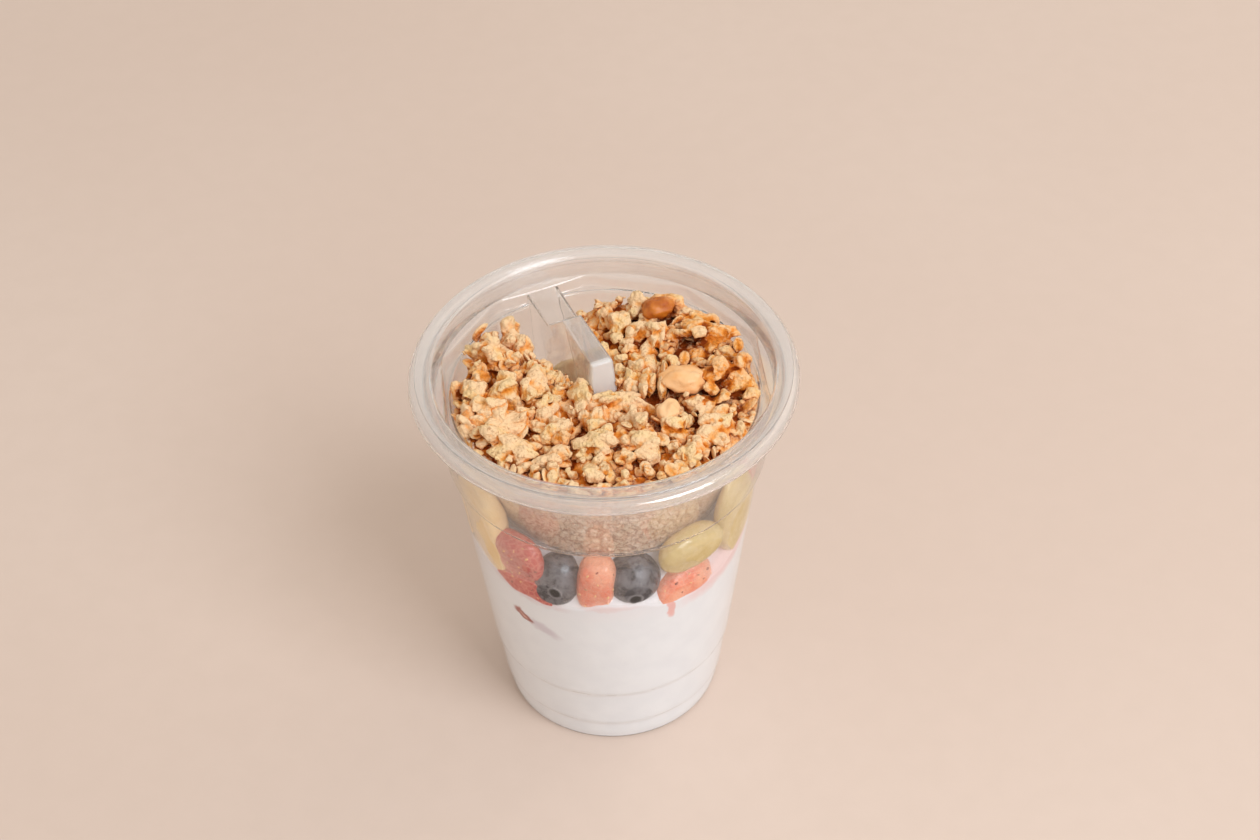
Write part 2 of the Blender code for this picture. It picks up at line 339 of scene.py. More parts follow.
def placed(name, mesh):
    piece = bpy.data.objects.new(name, mesh)
    bpy.context.scene.collection.objects.link(piece)
    return piece


def evaluated_mesh(holder):
    """The mesh of an object with its modifiers done; the object itself is thrown away."""
    bpy.context.view_layer.update()
    result = holder.evaluated_get(bpy.context.evaluated_depsgraph_get())
    mesh = bpy.data.meshes.new_from_object(result)
    bpy.data.objects.remove(holder)
    return mesh


def grown(name, source, tree, **values):
    """A new piece: the tree run on a source mesh, its inputs given by name."""
    holder = placed(name + "_seed", source)
    modifier = holder.modifiers.new("growth", "NODES")
    modifier.node_group = tree
    for item in tree.interface.items_tree:
        if item.in_out == "INPUT" and item.name.replace(" ", "_") in values:
            modifier[item.identifier] = values[item.name.replace(" ", "_")]
    piece = placed(name, evaluated_mesh(holder))
    piece.data.name = name
    return piece


def tidy(piece, sharp_from=40.0, recalculate=True):
    """Merge doubled points, point the faces outwards, and shade smooth except at sharp edges."""
    bm = bmesh.new()
    bm.from_mesh(piece.data)
    bmesh.ops.remove_doubles(bm, verts=bm.verts, dist=1e-6)
    bmesh.ops.dissolve_degenerate(bm, edges=bm.edges, dist=1e-7)
    loose = [edge for edge in bm.edges if not edge.link_faces]
    bmesh.ops.delete(bm, geom=loose, context="EDGES")
    if recalculate:
        bmesh.ops.recalc_face_normals(bm, faces=bm.faces)
    bm.to_mesh(piece.data)
    bm.free()
    piece.data.shade_smooth()
    piece.data.set_sharp_from_angle(angle=math.radians(sharp_from))
    return piece


def hand_over(piece, slot, *replaced):
    """Attach the piece to the root body and hide the solids it stands for. Its slot is not used."""
    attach(piece, "root")
    if replaced:
        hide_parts(*replaced)
    piece.data.calc_loop_triangles()
    print(piece.name, len(piece.data.loop_triangles), "triangles")


print("plain meshes can be read, cleaned and handed over")

# %% [markdown]
# ## Clear plastic
#
# The cup and the tray are thermoformed from clear sheet. Real sheet bends light a little and
# mirrors the table and the window on both of its faces, so the walls are built with their real
# thickness and given a glass shader. Glass in a path tracer blocks lamp light, so rays that
# carry light to the food pass straight through a Transparent shader instead. Slow waves in the
# normal keep the reflections from being too perfect. The tray's ridge is painted milky white,
# most of all at its nose. This is painted light that stands in for the light seen through the
# ridge into its hollow. The flange is a little milky, partly from scuffed sheet and partly as
# painted light.

# %% Clear plastic
RIDGE_DIRECTION = math.radians(113.4)
RIDGE_OUT = (math.cos(RIDGE_DIRECTION), math.sin(RIDGE_DIRECTION))
PLASTIC_IOR = 1.53
STRAIGHT_THROUGH = 0.1        # share of light that the thin sheet does not bend
FLANGE_HAZE_AND_PAINTED_LIGHT = 0.075


def ridge_axes(finish):
    """Distance out along the tray's ridge, distance to its side, and height."""
    x, y, z = finish.axes()
    out_x, out_y = RIDGE_OUT
    return x * out_x + y * out_y, x * out_y - y * out_x, z


def make_clear_plastic():
    finish = Finish("clear_sheet")
    wavy = finish.bump(finish.speckle(14.0, detail=1.0), depth_mm=0.04)
    glass = finish.make("ShaderNodeBsdfGlass", None, {
        "Color": (1.0, 1.0, 1.0, 1.0), "Roughness": 0.0, "IOR": PLASTIC_IOR, "Normal": wavy})
    straight = finish.make("ShaderNodeBsdfTransparent", None, {"Color": (1.0, 1.0, 1.0, 1.0)})
    glass = finish.make("ShaderNodeMixShader", None, {0: STRAIGHT_THROUGH, 1: glass, 2: straight})
    # A milky white shader. On the ridge it is painted light, and on the flange it is partly scuffed sheet
    # and partly painted light.
    haze_and_painted_light = finish.make("ShaderNodeBsdfPrincipled", None, {
        "Base Color": (0.90, 0.87, 0.86, 1.0), "Roughness": 0.25,
        "Transmission Weight": 0.35, "IOR": 1.2})
    n, t, z = ridge_axes(finish)
    # The ridge is painted milky as painted light, most at its nose and a little along its length.
    nose = finish.smooth(n, 1.2, 3.2, 0.62, 0.15) * finish.smooth(n, 18.0, 24.0, 1.0, 0.15)
    near = finish.smooth(finish.math("ABSOLUTE", t), 5.5, 6.5, 1.0, 0.0)
    ridge_painted_light = nose * near * finish.smooth(n, -3.0, -2.4) * finish.smooth(n, 30.0, 36.0, 1.0, 0.0)
    x, y, z = finish.axes()
    reach = finish.math("SQRT", x * x + y * y)
    # The flange is milky partly from scuffing and partly as painted light.
    rim = finish.smooth(reach, 39.0, 42.0, 0.0, FLANGE_HAZE_AND_PAINTED_LIGHT) * finish.smooth(z, 97.0, 100.0)
    glass = finish.make("ShaderNodeMixShader", None, {
        0: ridge_painted_light * finish.smooth(z, 75.0, 78.0) + rim, 1: glass, 2: haze_and_painted_light})
    open_air = finish.make("ShaderNodeBsdfTransparent", None, {"Color": (0.997, 0.997, 0.997, 1.0)})
    ray = finish.node("ShaderNodeLightPath")
    bounced = Signal(finish, ray.outputs["Is Diffuse Ray"])
    to_lamp = Signal(finish, ray.outputs["Is Shadow Ray"])
    inner = finish.make("ShaderNodeMixShader", None, {0: bounced, 1: glass, 2: open_air})
    return finish.show(finish.make("ShaderNodeMixShader", None, {0: to_lamp, 1: inner, 2: open_air}))


clear_plastic = make_clear_plastic()
print("made", clear_plastic.name)

# %% [markdown]
# ## Turning a profile
#
# The cup is a turned shape: one outline, taken round an axis. The tree below lays out a grid,
# looks up each point's place on the outline, and turns it to its own direction. Each point of
# the outline also says how angular its level is, so that the same rule makes the tray's
# ten-sided collar, whose corners are rounded by letting the flats run only so far round.

# %% The turning tree
COLLAR_SIDES = 10.0


def make_turning_tree():
    turning = Growth("turning", [("Segments", int), ("Sides", float), ("Corner", float)])
    outline = turning.given("Geometry")
    segments = turning.given("Segments")
    count = turning.make("GeometryNodeAttributeDomainSize", None, {0: outline})
    row = count + 1
    grid = turning.make("GeometryNodeMeshGrid", None,
                        {"Vertices X": segments + 1, "Vertices Y": row})
    index = turning.make("GeometryNodeInputIndex")
    step = turning.math("FLOOR", (index + 0.5) / row)
    level = turning.math("MODULO", index - step * row, count)

    def looked_up(value, kind):
        sockets = {"Geometry": outline, "Value": value, "Index": level}
        return turning.make("GeometryNodeSampleIndex", {"data_type": kind}, sockets)

    place = looked_up(turning.make("GeometryNodeInputPosition"), "FLOAT_VECTOR")
    angular = looked_up(turning.attribute("angular"), "FLOAT")
    split = turning.node("ShaderNodeSeparateXYZ", sockets={0: place})
    radius, height = Signal(turning, split.outputs[0]), Signal(turning, split.outputs[2])
    half = math.pi / turning.given("Sides")
    angle = turning.given("Corner") + step * math.tau / segments
    around = turning.math("FLOORED_MODULO", angle - turning.given("Corner"), half * 2) - half
    off_middle = turning.math("MINIMUM", turning.math("ABSOLUTE", around), half * 0.9)
    flat = turning.math("COSINE", half) / turning.math("COSINE", off_middle)
    reach = radius * (1 + angular * (flat - 1))
    spot = turning.vector(reach * turning.math("COSINE", angle),
                          reach * turning.math("SINE", angle), height)
    moved = turning.make("GeometryNodeSetPosition", None, {"Geometry": grid, "Position": spot})
    sockets = {"Geometry": moved, "Distance": 1e-6}
    return turning.close(turning.make("GeometryNodeMergeByDistance", None, sockets))


turning_tree = make_turning_tree()


def turned(name, outline, finish, segments=200, corner=0.0):
    """Turn a closed outline of (radius, height[, how angular]) points, in millimetres."""
    points = [(radius * MM, 0.0, height * MM) for radius, height, *_ in outline]
    edges = [(i, (i + 1) % len(points)) for i in range(len(points))]
    source = plain_mesh(name + "_outline", points, edges=edges)
    store_mark(source, "angular", [(level + (0.0,))[2] for level in outline])
    piece = grown(name, source, turning_tree, Segments=segments, Sides=COLLAR_SIDES,
                  Corner=corner, Finish=finish)
    return tidy(piece)


print("the turning tree has", len(turning_tree.nodes), "nodes")

# %% [markdown]
# ## Outlines of thin sheet
#
# A thin wall is easiest to draw as the line down its middle. `rounded` takes a few corners, each
# with its own radius, and puts an arc at each, as a forming tool would. `sheet` then gives the
# line its thickness, which makes the closed outline that is turned.

# %% Rounded lines and sheets
def rounded(corners, steps=5):
    """A line through (x, y, radius) corners, with an arc of that radius at each."""
    line = []
    for index, (x, y, radius) in enumerate(corners):
        corner = np.array((x, y))
        if radius == 0 or index in (0, len(corners) - 1):
            line.append(corner)
            continue
        before = np.array(corners[index - 1][:2]) - corner
        after = np.array(corners[index + 1][:2]) - corner
        room = min(np.linalg.norm(before), np.linalg.norm(after)) * 0.49
        before, after = before / np.linalg.norm(before), after / np.linalg.norm(after)
        half = math.acos(max(-1.0, min(1.0, float(before @ after)))) / 2
        away = min(radius / math.tan(half), room)
        radius = away * math.tan(half)
        middle_way = (before + after) / np.linalg.norm(before + after)
        centre = corner + middle_way * (radius / math.sin(half))
        start, end = corner + before * away - centre, corner + after * away - centre
        for step in range(steps + 1):
            share = step / steps
            arm = start * (1 - share) + end * share
            line.append(centre + arm / np.linalg.norm(arm) * radius)
    return line


def sheet(line, thickness):
    """The closed outline of a sheet whose middle follows the line."""
    line = np.array(line)
    ways = np.gradient(line, axis=0)
    ways /= np.linalg.norm(ways, axis=1)[:, None]
    across = np.stack([-ways[:, 1], ways[:, 0]], axis=1) * thickness / 2
    return [tuple(p) for p in line + across] + [tuple(p) for p in (line - across)[::-1]]


print("a right angle of radius 1 becomes", len(rounded([(0, 0, 0), (5, 0, 1), (5, 5, 0)])), "points")

# %% [markdown]
# ## The cup
#
# A clear tumbler: a floor raised above a foot ring, two stacking rings low down, a long plain
# cone, a step where the wall widens, and a rim rolled outwards into a bead. The bead's roll is a
# spiral arc. Its height, width and foot come from the frame's solid, and the levels of its
# rings from the solid's own outline.

# %% Cup
cup_low, cup_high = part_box("cup")
CUP_HEIGHT = cup_high.z / MM
RIM_RADIUS = (cup_high.x - cup_low.x) / 2 / MM + 0.02
CUP_SHEET = 0.45
BEAD_RADIUS = 2.1

# Middle of the sheet from the floor's centre out and up: radius, height, how round the corner is
CUP_WALL = [
    (0, 2.75, 0), (25.4, 2.75, 0.9), (26.7, 0.25, 0.9), (28.6, 0.25, 1.0), (29.15, 3.0, 1.2),
    (29.65, 7.4, 0.5), (30.1, 7.9, 0.5), (31.6, 21.2, 0.5), (32.1, 21.7, 0.5),
    (39.45, 83.3, 0.9), (40.9, 85.3, 0.9), (44.2, 107.0, 0),
]


def rolled_bead(start, end, steps=30):
    """The rim's roll, clockwise from one angle to another about the bead's centre."""
    centre = (RIM_RADIUS - BEAD_RADIUS - CUP_SHEET / 2, CUP_HEIGHT - BEAD_RADIUS - CUP_SHEET / 2)
    for step in range(steps + 1):
        angle = math.radians(start + (end - start) * step / steps)
        tighter = 1.0 - 0.22 * step / steps
        yield (centre[0] + BEAD_RADIUS * tighter * math.cos(angle) * 1.05,
               centre[1] + BEAD_RADIUS * tighter * math.sin(angle))


cup_line = rounded(CUP_WALL) + list(rolled_bead(170.0, -200.0))
rising = [(y, x) for x, y in rounded(CUP_WALL) if x > 28.7]


def wall_inside(height):
    """Inner radius of the cup at a height, in millimetres."""
    return np.interp(height, *zip(*rising)) - CUP_SHEET / 2


cup = turned("cup_wall", sheet(cup_line, CUP_SHEET), clear_plastic, segments=240)
hand_over(cup, "clear_plastic", "cup")

# %% [markdown]
# ## The insert tray
#
# The tray is one clear sheet too: a flange that lies on the rim, a ten-sided collar with a
# narrow ledge above and below it, and a round bowl. A hollow ridge crosses it from the back
# left, low at the wall and then stepping up to rim height, and stops at the middle.
#
# A sheet with a ridge in it is hard to draw as one surface. It is made as the real tool makes
# it, from two halves: the space under the sheet and the space over it. Each half is a turned
# body with a ridge block taken out or left standing, and what is left between them is the sheet.

# %% Insert, the two halves
MOUTH_RADIUS = 43.9           # where the flat flange ends and the sheet turns down
insert_low, insert_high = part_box("insert")
INSERT_TOP = insert_high.z / MM
INSERT_SHEET = 0.4
FLANGE_RADIUS = (insert_high.x - insert_low.x) / 2 / MM
COLLAR_RADIUS = 42.0
FIRST_CORNER = RIDGE_DIRECTION + math.pi / COLLAR_SIDES
BOWL = [(74.8, 30.4), (101.9, 38.7)]           # height and inner radius at its foot and top
BOWL_FLOOR = 73.6


def bowl_inside(height):
    return np.interp(height, *zip(*BOWL))


def collar_levels(drop, inset):
    """The collar's levels from the top down: a ledge that narrows to ten flats, then walls."""
    levels = []
    for share in np.linspace(0.0, 1.0, 9):
        turn = share * math.pi / 2
        levels.append((COLLAR_RADIUS + 0.12 - 0.12 * share + inset, 105.25 - drop
                       - 0.75 * (1 - math.cos(turn)) ** 1.6, math.sin(turn) ** 1.3))
    levels.append((COLLAR_RADIUS - 0.35 + inset, 102.9 - drop, 1.0))
    levels.append((COLLAR_RADIUS - 0.5 + inset, 102.5 - drop, 1.0))
    for share in np.linspace(0.0, 1.0, 5):
        levels.append((COLLAR_RADIUS - 0.75 - 2.2 * share + inset, 102.2 - drop - 0.2 * share,
                       1.0 - share))
    return levels


def bowl_levels(drop, inset):
    (foot, foot_radius), (top, top_radius) = BOWL
    line = rounded([
        (top_radius + 0.9 + inset, top + 0.06 - drop, 0), (top_radius + inset, top - drop, 0.7),
        (foot_radius + inset, foot - drop, 1.4), (foot_radius - 1.3 + inset, BOWL_FLOOR - drop, 1.0),
        (0, BOWL_FLOOR - drop, 0)])
    return [(x, y, 0.0) for x, y in line]


def make_tray_halves():
    above = INSERT_TOP + 3.0
    edge = [(x, y, 0.0) for x, y in rounded([
        (MOUTH_RADIUS, INSERT_TOP, 0), (MOUTH_RADIUS - 0.95, INSERT_TOP, 0.5),
        (COLLAR_RADIUS + 0.15, 105.4, 0)])]
    room = [(0, above, 0.0), (MOUTH_RADIUS, above, 0.0)] + edge
    room += collar_levels(0, 0) + bowl_levels(0, 0)
    sheet_mm = INSERT_SHEET
    outer_edge = [(x, y, 0.0) for x, y in rounded([
        (FLANGE_RADIUS - 0.25, INSERT_TOP, 0.0), (FLANGE_RADIUS, INSERT_TOP - 0.2, 0.1),
        (FLANGE_RADIUS - 0.25, INSERT_TOP - sheet_mm, 0.1),
        (MOUTH_RADIUS - 0.7, INSERT_TOP - sheet_mm, 0.6), (COLLAR_RADIUS + 0.5, 105.3 - sheet_mm, 0)])]
    body = [(0, INSERT_TOP, 0.0)] + outer_edge
    body += collar_levels(sheet_mm, sheet_mm) + bowl_levels(sheet_mm, sheet_mm)
    return (turned("tray_body", body, clear_plastic, corner=FIRST_CORNER),
            turned("tray_room", room, clear_plastic, corner=FIRST_CORNER))


tray_body, tray_room = make_tray_halves()
print("tray body", len(tray_body.data.vertices), "points")

# %% [markdown]
# The ridge is one block in five stations along its length. It is wider at its foot than at its
# top, as every wall of a moulded tray is, so that the tray lets go of the mould. The same block
# is used twice: once at full size over the sheet, and once a sheet's thickness smaller under it.

# %% Insert, the ridge
RIDGE_TOPS = [                # distance from the axis, height and half width of the top
    (0.7, 110.6, 2.9), (20.0, 110.6, 2.7), (23.3, 107.6, 3.8), (26.6, 104.5, 4.1),
    (45.0, 104.5, 4.5),
]
RIDGE_DRAFT = math.tan(math.radians(4.0))
BEVEL_FROM = 25.0             # edges that turn by more degrees than this are rounded


def ridge_frame(points):
    """Points as (distance out along the ridge, distance to its side, height)."""
    x, y, z = np.asarray(points).T
    out_x, out_y = RIDGE_OUT
    return np.stack([x * out_x + y * out_y, x * out_y - y * out_x, z], axis=1)


def ridge_block(name, grow, floor, back, rounding):
    """The ridge as a solid block with rounded edges, grow millimetres thicker all round."""
    out = np.array((*RIDGE_OUT, 0.0))
    side = np.array((out[1], -out[0], 0.0))
    rings = []
    for index, (reach, top, half) in enumerate(RIDGE_TOPS):
        reach = back if index == len(RIDGE_TOPS) - 1 else reach - (grow if index == 0 else 0.0)
        top, half = top + grow, half + grow
        spread = (top - floor) * RIDGE_DRAFT
        low_reach = reach - spread if index == 0 else reach
        rings.append([out * n + side * t + np.array((0, 0, z)) for n, t, z in (
            (reach, -half, top), (reach, half, top), (low_reach, half + spread, floor),
            (low_reach, -half - spread, floor))])
    points = [point * MM for ring in rings for point in ring]
    faces = [(3, 2, 1, 0), tuple(len(points) - 4 + i for i in range(4))]
    for start in range(0, len(points) - 4, 4):
        for corner in range(4):
            after = (corner + 1) % 4
            faces.append((start + corner, start + after, start + 4 + after, start + 4 + corner))
    block = placed(name, plain_mesh(name, points, faces))
    tidy(block)
    bevel = block.modifiers.new("rounding", "BEVEL")
    bevel.width = rounding * MM
    bevel.segments = 4
    bevel.limit_method = "ANGLE"
    bevel.angle_limit = math.radians(BEVEL_FROM)
    return block


def cut(piece, cutter, name):
    """Take one body out of another and keep the result as a plain mesh."""
    step = piece.modifiers.new("cut", "BOOLEAN")
    step.operation = "DIFFERENCE"
    step.solver = "MANIFOLD"
    step.object = cutter
    mesh = evaluated_mesh(piece)
    bpy.data.objects.remove(cutter)
    mesh.materials.clear()
    mesh.polygons.foreach_set("material_index", np.zeros(len(mesh.polygons), dtype=np.int32))
    return placed(name, mesh)


ridge_over = ridge_block("ridge_over", 0.0, 70.0, 45.0, rounding=0.6)
ridge_under = ridge_block("ridge_under", -INSERT_SHEET, 67.0, 60.0, rounding=0.35)
tray_room = cut(tray_room, ridge_over, "tray_room_with_ridge")
tray_body = cut(tray_body, ridge_under, "tray_body_with_hollow")
insert = tidy(cut(tray_body, tray_room, "insert_tray"), sharp_from=32.0)
insert.data.materials.append(clear_plastic)
hand_over(insert, "clear_plastic", "insert")

# %% [markdown]
# ## Floor and light
#
# The cup stands on a plain warm beige table. One broad lamp, high up at the front right, stands
# for a window: it makes the long soft shadow to the back left and the streaks on the rim. The
# sky all round is bright, so the shadow stays pale.

# %% Floor
def make_floor():
    finish = Finish("table_top")
    broad = finish.speckle(400.0, detail=2.0)
    fine = finish.speckle(9.0, detail=4.0)
    colour = finish.mix(finish.smooth(broad, 0.35, 0.65), (0.66, 0.515, 0.435), (0.69, 0.55, 0.47))
    colour = finish.mix(finish.smooth(fine, 0.3, 0.7) * 0.12, colour, (0.60, 0.47, 0.39))
    finish.principled({"Base Color": colour, "Roughness": 0.6,
                       "Normal": finish.bump(fine, depth_mm=0.08)})
    half = 2.5
    corners = [(-half, -half, 0), (half, -half, 0), (half, half, 0), (-half, half, 0)]
    floor = placed("table", plain_mesh("table", corners, [(0, 1, 2, 3)]))
    floor.data.materials.append(finish.material)


make_floor()
print("the table is down")

# %% [markdown]
# Lamps are placed by compass direction, height in degrees and distance, which is how a person
# would say where a window is. The main one is a little blue against the warm sky, and a weak warm
# one behind fills the far side.

# %% Light
def make_lamp(name, direction, elevation, distance, size, power, colour):
    lamp = bpy.data.lights.new(name, "AREA")
    lamp.shape = "RECTANGLE"
    lamp.size, lamp.size_y = size
    lamp.energy = power
    lamp.color = colour
    holder = bpy.data.objects.new(name, lamp)
    turn, lift = math.radians(direction), math.radians(elevation)
    towards = Vector((math.cos(turn) * math.cos(lift), math.sin(turn) * math.cos(lift),
                      math.sin(lift)))
    holder.location = Vector((0, 0, 0.08)) + towards * distance
    holder.rotation_euler = towards.to_track_quat("Z", "Y").to_euler()
    bpy.context.scene.collection.objects.link(holder)


def make_sky(colour, strength):
    world = bpy.data.worlds.new("soft_sky")
    world.use_nodes = True
    background = world.node_tree.nodes["Background"]
    background.inputs["Color"].default_value = (*colour, 1.0)
    background.inputs["Strength"].default_value = strength
    bpy.context.scene.world = world


make_lamp("window", -46.0, 45.0, 1.4, (0.7, 0.7), 13.0, (0.86, 0.93, 1.0))
make_lamp("far_window", 38.0, 38.0, 1.5, (0.9, 0.9), 2.6, (1.0, 0.93, 0.82))
make_sky((1.0, 0.95, 0.875), 0.72)
scene = bpy.context.scene
scene.view_settings.view_transform = "Standard"
scene.cycles.transparent_max_bounces = 32
scene.cycles.max_bounces = 32
scene.cycles.transmission_bounces = 32
scene.cycles.caustics_refractive = False
scene.cycles.caustics_reflective = False
print("lamps:", [lamp.name for lamp in bpy.data.lights])

# %% [markdown]
# ## Yogurt
#
# Thick white yogurt fills the lower half. It wets the wall, so the piece reaches a tenth of a
# millimetre into the plastic and no air shows between them. Its edge rises and dips round the
# cup, because the fruit was pressed into it. Juice has run from the fruit: a pink blush under
# the berries, a red drip, and a smear up the right side. A light line along the dark red streak
# at the left is a painted highlight. Each stain, and that highlight, is an ellipse on the
# unrolled wall, with noise added to its place so that its edge wanders.

# %% Yogurt edge and stains
YOGURT_EDGE = [               # direction in degrees, height of the edge on the wall
    (-180, 66.0), (-142, 63.0), (-132, 59.4), (-118, 58.6), (-108, 59.8), (-93, 61.4),
    (-78, 61.8), (-70, 60.0), (-63, 58.6), (-51, 59.4), (-38, 61.5), (-26, 64.5), (-12, 68.5),
    (8, 67.0), (40, 65.0),
    (80, 67.0), (120, 64.5), (155, 67.0), (180, 66.0),
]
YOGURT_FLOOR = 3.05
YOGURT_FOOT = 0.85            # where the yogurt starts to touch the wall
YOGURT_WETTING = 0.1
WALL_REACH = 31.5             # the wall's radius where the stains are
STAINS_AND_HIGHLIGHT = [                    # direction, height, half length, half height, lean, softness,
                              # strength and colour
    (-120, 47.4, 4.6, 1.9, -26, 0.9, 0.55, (0.52, 0.42, 0.49)),
    (-129.3, 49.6, 2.9, 1.35, -36, 0.5, 1.0, (0.33, 0.06, 0.04)),
    # A painted highlight: a light line along the dark red streak above.
    (-129.3, 49.6, 1.4, 0.35, -36, 0.5, 0.8, (0.8, 0.5, 0.4)),
    (-64.5, 57.0, 1.1, 4.2, 4, 0.5, 0.7, (0.80, 0.30, 0.24)),
    (-37, 62.0, 11.0, 4.0, 24, 0.9, 0.6, (0.82, 0.46, 0.44)),
    (-127, 60.5, 9.0, 2.2, -10, 0.9, 0.4, (0.58, 0.33, 0.36)),
    (-92, 61.0, 6.0, 1.3, 0, 0.9, 0.3, (0.80, 0.45, 0.42)),
]
YOGURT_TOP = 72.3             # just under the tray's floor, where the yogurt is squeezed up


def yogurt_edge(direction):
    directions, heights = zip(*YOGURT_EDGE)
    ripple = 0.35 * math.sin(math.radians(direction) * 11) + 0.2 * math.sin(
        math.radians(direction) * 23 + 1.0)
    return float(np.interp(direction, directions, heights)) + ripple


print("yogurt edge in front:", round(yogurt_edge(-90.0), 1), "mm high")

# %% [markdown]
# The body is a stack of rings, one above the other along the wall and then inwards over the top.
# Its rings follow the wall and the edge, so it touches the plastic everywhere it should.

# %% Yogurt body
def ring_stack(name, rings, low_pole, high_pole):
    """A closed body from rings of points, in millimetres, between two poles."""
    count = len(rings[0])
    points = [point for ring in rings for point in ring] + [low_pole, high_pole]
    bottom, top = len(points) - 2, len(points) - 1
    last = (len(rings) - 1) * count
    faces = []
    for step in range(count):
        after = (step + 1) % count
        faces.append((bottom, after, step))
        faces.append((top, last + step, last + after))
        for start in range(0, last, count):
            faces.append((start + step, start + after, start + count + after,
                          start + count + step))
    return placed(name, plain_mesh(name, np.array(points) * MM, faces))


def make_yogurt():
    steps = 288
    foot = [(25.1, YOGURT_FLOOR), (27.1, 0.75), (28.1, 0.6)]
    inward_steps = (0.5, 1.2, 3.0, 6.0, 11.0, 19.0, 28.0)
    side_shares = np.linspace(0.0, 1.0, 70)
    rings = [[] for _ in range(len(foot) + len(side_shares) + len(inward_steps))]
    for step in range(steps):
        direction = 360.0 * step / steps - 180.0
        turn = math.radians(direction)
        edge = yogurt_edge(direction)
        levels = list(foot)
        for share in side_shares:
            height = YOGURT_FOOT + share * (edge - YOGURT_FOOT)
            levels.append((float(wall_inside(height)) + YOGURT_WETTING, height))
        reach = levels[-1][0]
        for inward in inward_steps:
            swell = noise.noise((math.cos(turn) * 1.4, math.sin(turn) * 1.4, inward * 0.12))
            rise = (YOGURT_TOP - edge) * (1 - (1 - min(inward / 9.0, 1.0)) ** 2)
            levels.append((reach - inward, edge + rise + swell * min(inward, 3.0) * 0.3))
        for ring, (radius, height) in zip(rings, levels):
            ring.append((radius * math.cos(turn), radius * math.sin(turn), height))
    middle = float(np.mean([point[2] for point in rings[-1]]))
    return tidy(ring_stack("yogurt_fill", rings, (0, 0, YOGURT_FLOOR), (0, 0, middle)))


yogurt = make_yogurt()
print("yogurt is", round(float(np.ptp(mesh_points(yogurt.data)[:, 2])), 1), "mm deep")

# %% [markdown]
# The finish is almost white, cooler where it is thick, and carries the stains and one painted
# highlight. Unrolling the wall turns direction into a length, so that a stain is a plain ellipse
# on flat paper.

# %% Yogurt finish
def make_yogurt_finish():
    finish = Finish("thick_yogurt")
    x, y, z = finish.axes()
    drift = finish.speckle(7.0, detail=3.0)
    direction = finish.math("ARCTAN2", y, x) * (180 / math.pi)
    tooth = finish.speckle(2.2, detail=2.0)

    def wall_ellipse(centre, height, half_along, half_up, lean, soft):
        """1 inside a leaning ellipse on the wall, 0 outside, with an uneven edge."""
        along = (direction - centre) * math.radians(WALL_REACH) + (drift - 0.5) * 5.0
        up = z - height + (tooth - 0.5) * 2.5
        turn = math.radians(lean)
        u = (along * math.cos(turn) + up * math.sin(turn)) / half_along
        v = (up * math.cos(turn) - along * math.sin(turn)) / half_up
        return finish.smooth(u * u + v * v, 1.0 - soft, 1.0 + soft, 1.0, 0.0)

    colour = finish.mix(finish.smooth(drift, 0.3, 0.7), (0.78, 0.795, 0.83), (0.815, 0.83, 0.86))
    blush = finish.smooth(z + (drift - 0.5) * 14.0, 52.0, 65.0)
    colour = finish.mix(blush * 0.32, colour, (0.74, 0.64, 0.68))
    for *ellipse, strength, tint in STAINS_AND_HIGHLIGHT:
        colour = finish.mix(wall_ellipse(*ellipse) * strength, colour, tint)
    return finish.principled({
        "Base Color": colour, "Roughness": finish.smooth(tooth, 0.3, 0.7, 0.32, 0.45),
        "Normal": finish.bump(drift, depth_mm=0.15)})


yogurt.data.materials.append(make_yogurt_finish())
hand_over(yogurt, "yogurt", "yogurt")

# %% [markdown]
# ## Fruit between the tray and the cup
#
# Each piece of fruit is squeezed between the wall and the tray's bowl. Its solid gives the
# place and size. The solid is smoothed by subdivision, swollen back to full size, roughened a
# little, and then pressed against the wall, which flattens it there as the real wall does. Soft
# fruit spreads into whatever room its neighbours leave, so `FULLER` lets some pieces grow,
# shift or lean a little more.

# %% The gap between tray and wall
def bowl_outside(height):
    return bowl_inside(height + INSERT_SHEET) + INSERT_SHEET


def press_in_gap(points, spare=0.12, into_wall=0.05):
    """Keep points, in millimetres, inside the cup and clear of the tray's bowl and floor."""
    x, y, z = points.T.copy()
    reach = np.hypot(x, y)
    under_floor = BOWL_FLOOR - INSERT_SHEET - spare
    beneath = (z > under_floor) & (reach < bowl_outside(BOWL[0][0]) - 1.0)
    z[beneath] = under_floor
    narrowest = np.where(z > under_floor, bowl_outside(z) + spare, 0.0)
    wanted = np.clip(reach, narrowest, wall_inside(z) + into_wall)
    share = wanted / np.maximum(reach, 1e-6)
    return np.stack([x * share, y * share, z], axis=1)


def roughened(points, size_mm, depth_mm, seed=0.0):
    """Push each point along its way out from the middle by noise."""
    ways = points - points.mean(axis=0)
    ways /= np.linalg.norm(ways, axis=1)[:, None]
    push = [noise.fractal(Vector(p / size_mm) + Vector((seed, seed, seed)), 1.0, 2.0, 3)
            for p in points]
    return points + ways * np.array(push)[:, None] * depth_mm


print("room in the gap at 70 mm up:", round(wall_inside(70.0), 1), "mm out to the wall")

# %% [markdown]
# A fruit body starts from its solid. It is smoothed, turned so that it faces the wall, stretched to
# its goal size, shifted, turned back, roughened, and pressed into the gap last of all.

# %% Fruit bodies
FULLER = {                    # extra width and height, shift round, up and out in mm, lean
    "mango_slice_left": (1.5, 1.5, 0.3, 1.4, 0.0, 0.0),
    "strawberry_slice_left": (3.8, -3.0, 0.0, 0.0, 0.1, 0.0),
    "strawberry_slice_low": (4.0, 5.0, 1.2, 2.0, 2.3, 0.0),
    "strawberry_wedge_front": (1.0, 0.8, 0.0, 0.4, 0.0, 0.0),
    "strawberry_wedge_right": (4.0, 3.0, -0.6, 0.4, 0.5, 0.0),
    "grape_right": (-1.5, -2.5, 0.3, 1.5, 0.0, -8.0),
    "grape_far_right": (0.5, 3.0, 0.0, -1.5, 0.0, 0.0),
    "grape_back": (0.0, -1.0, 0.0, -3.0, 0.0, 0.0),
}


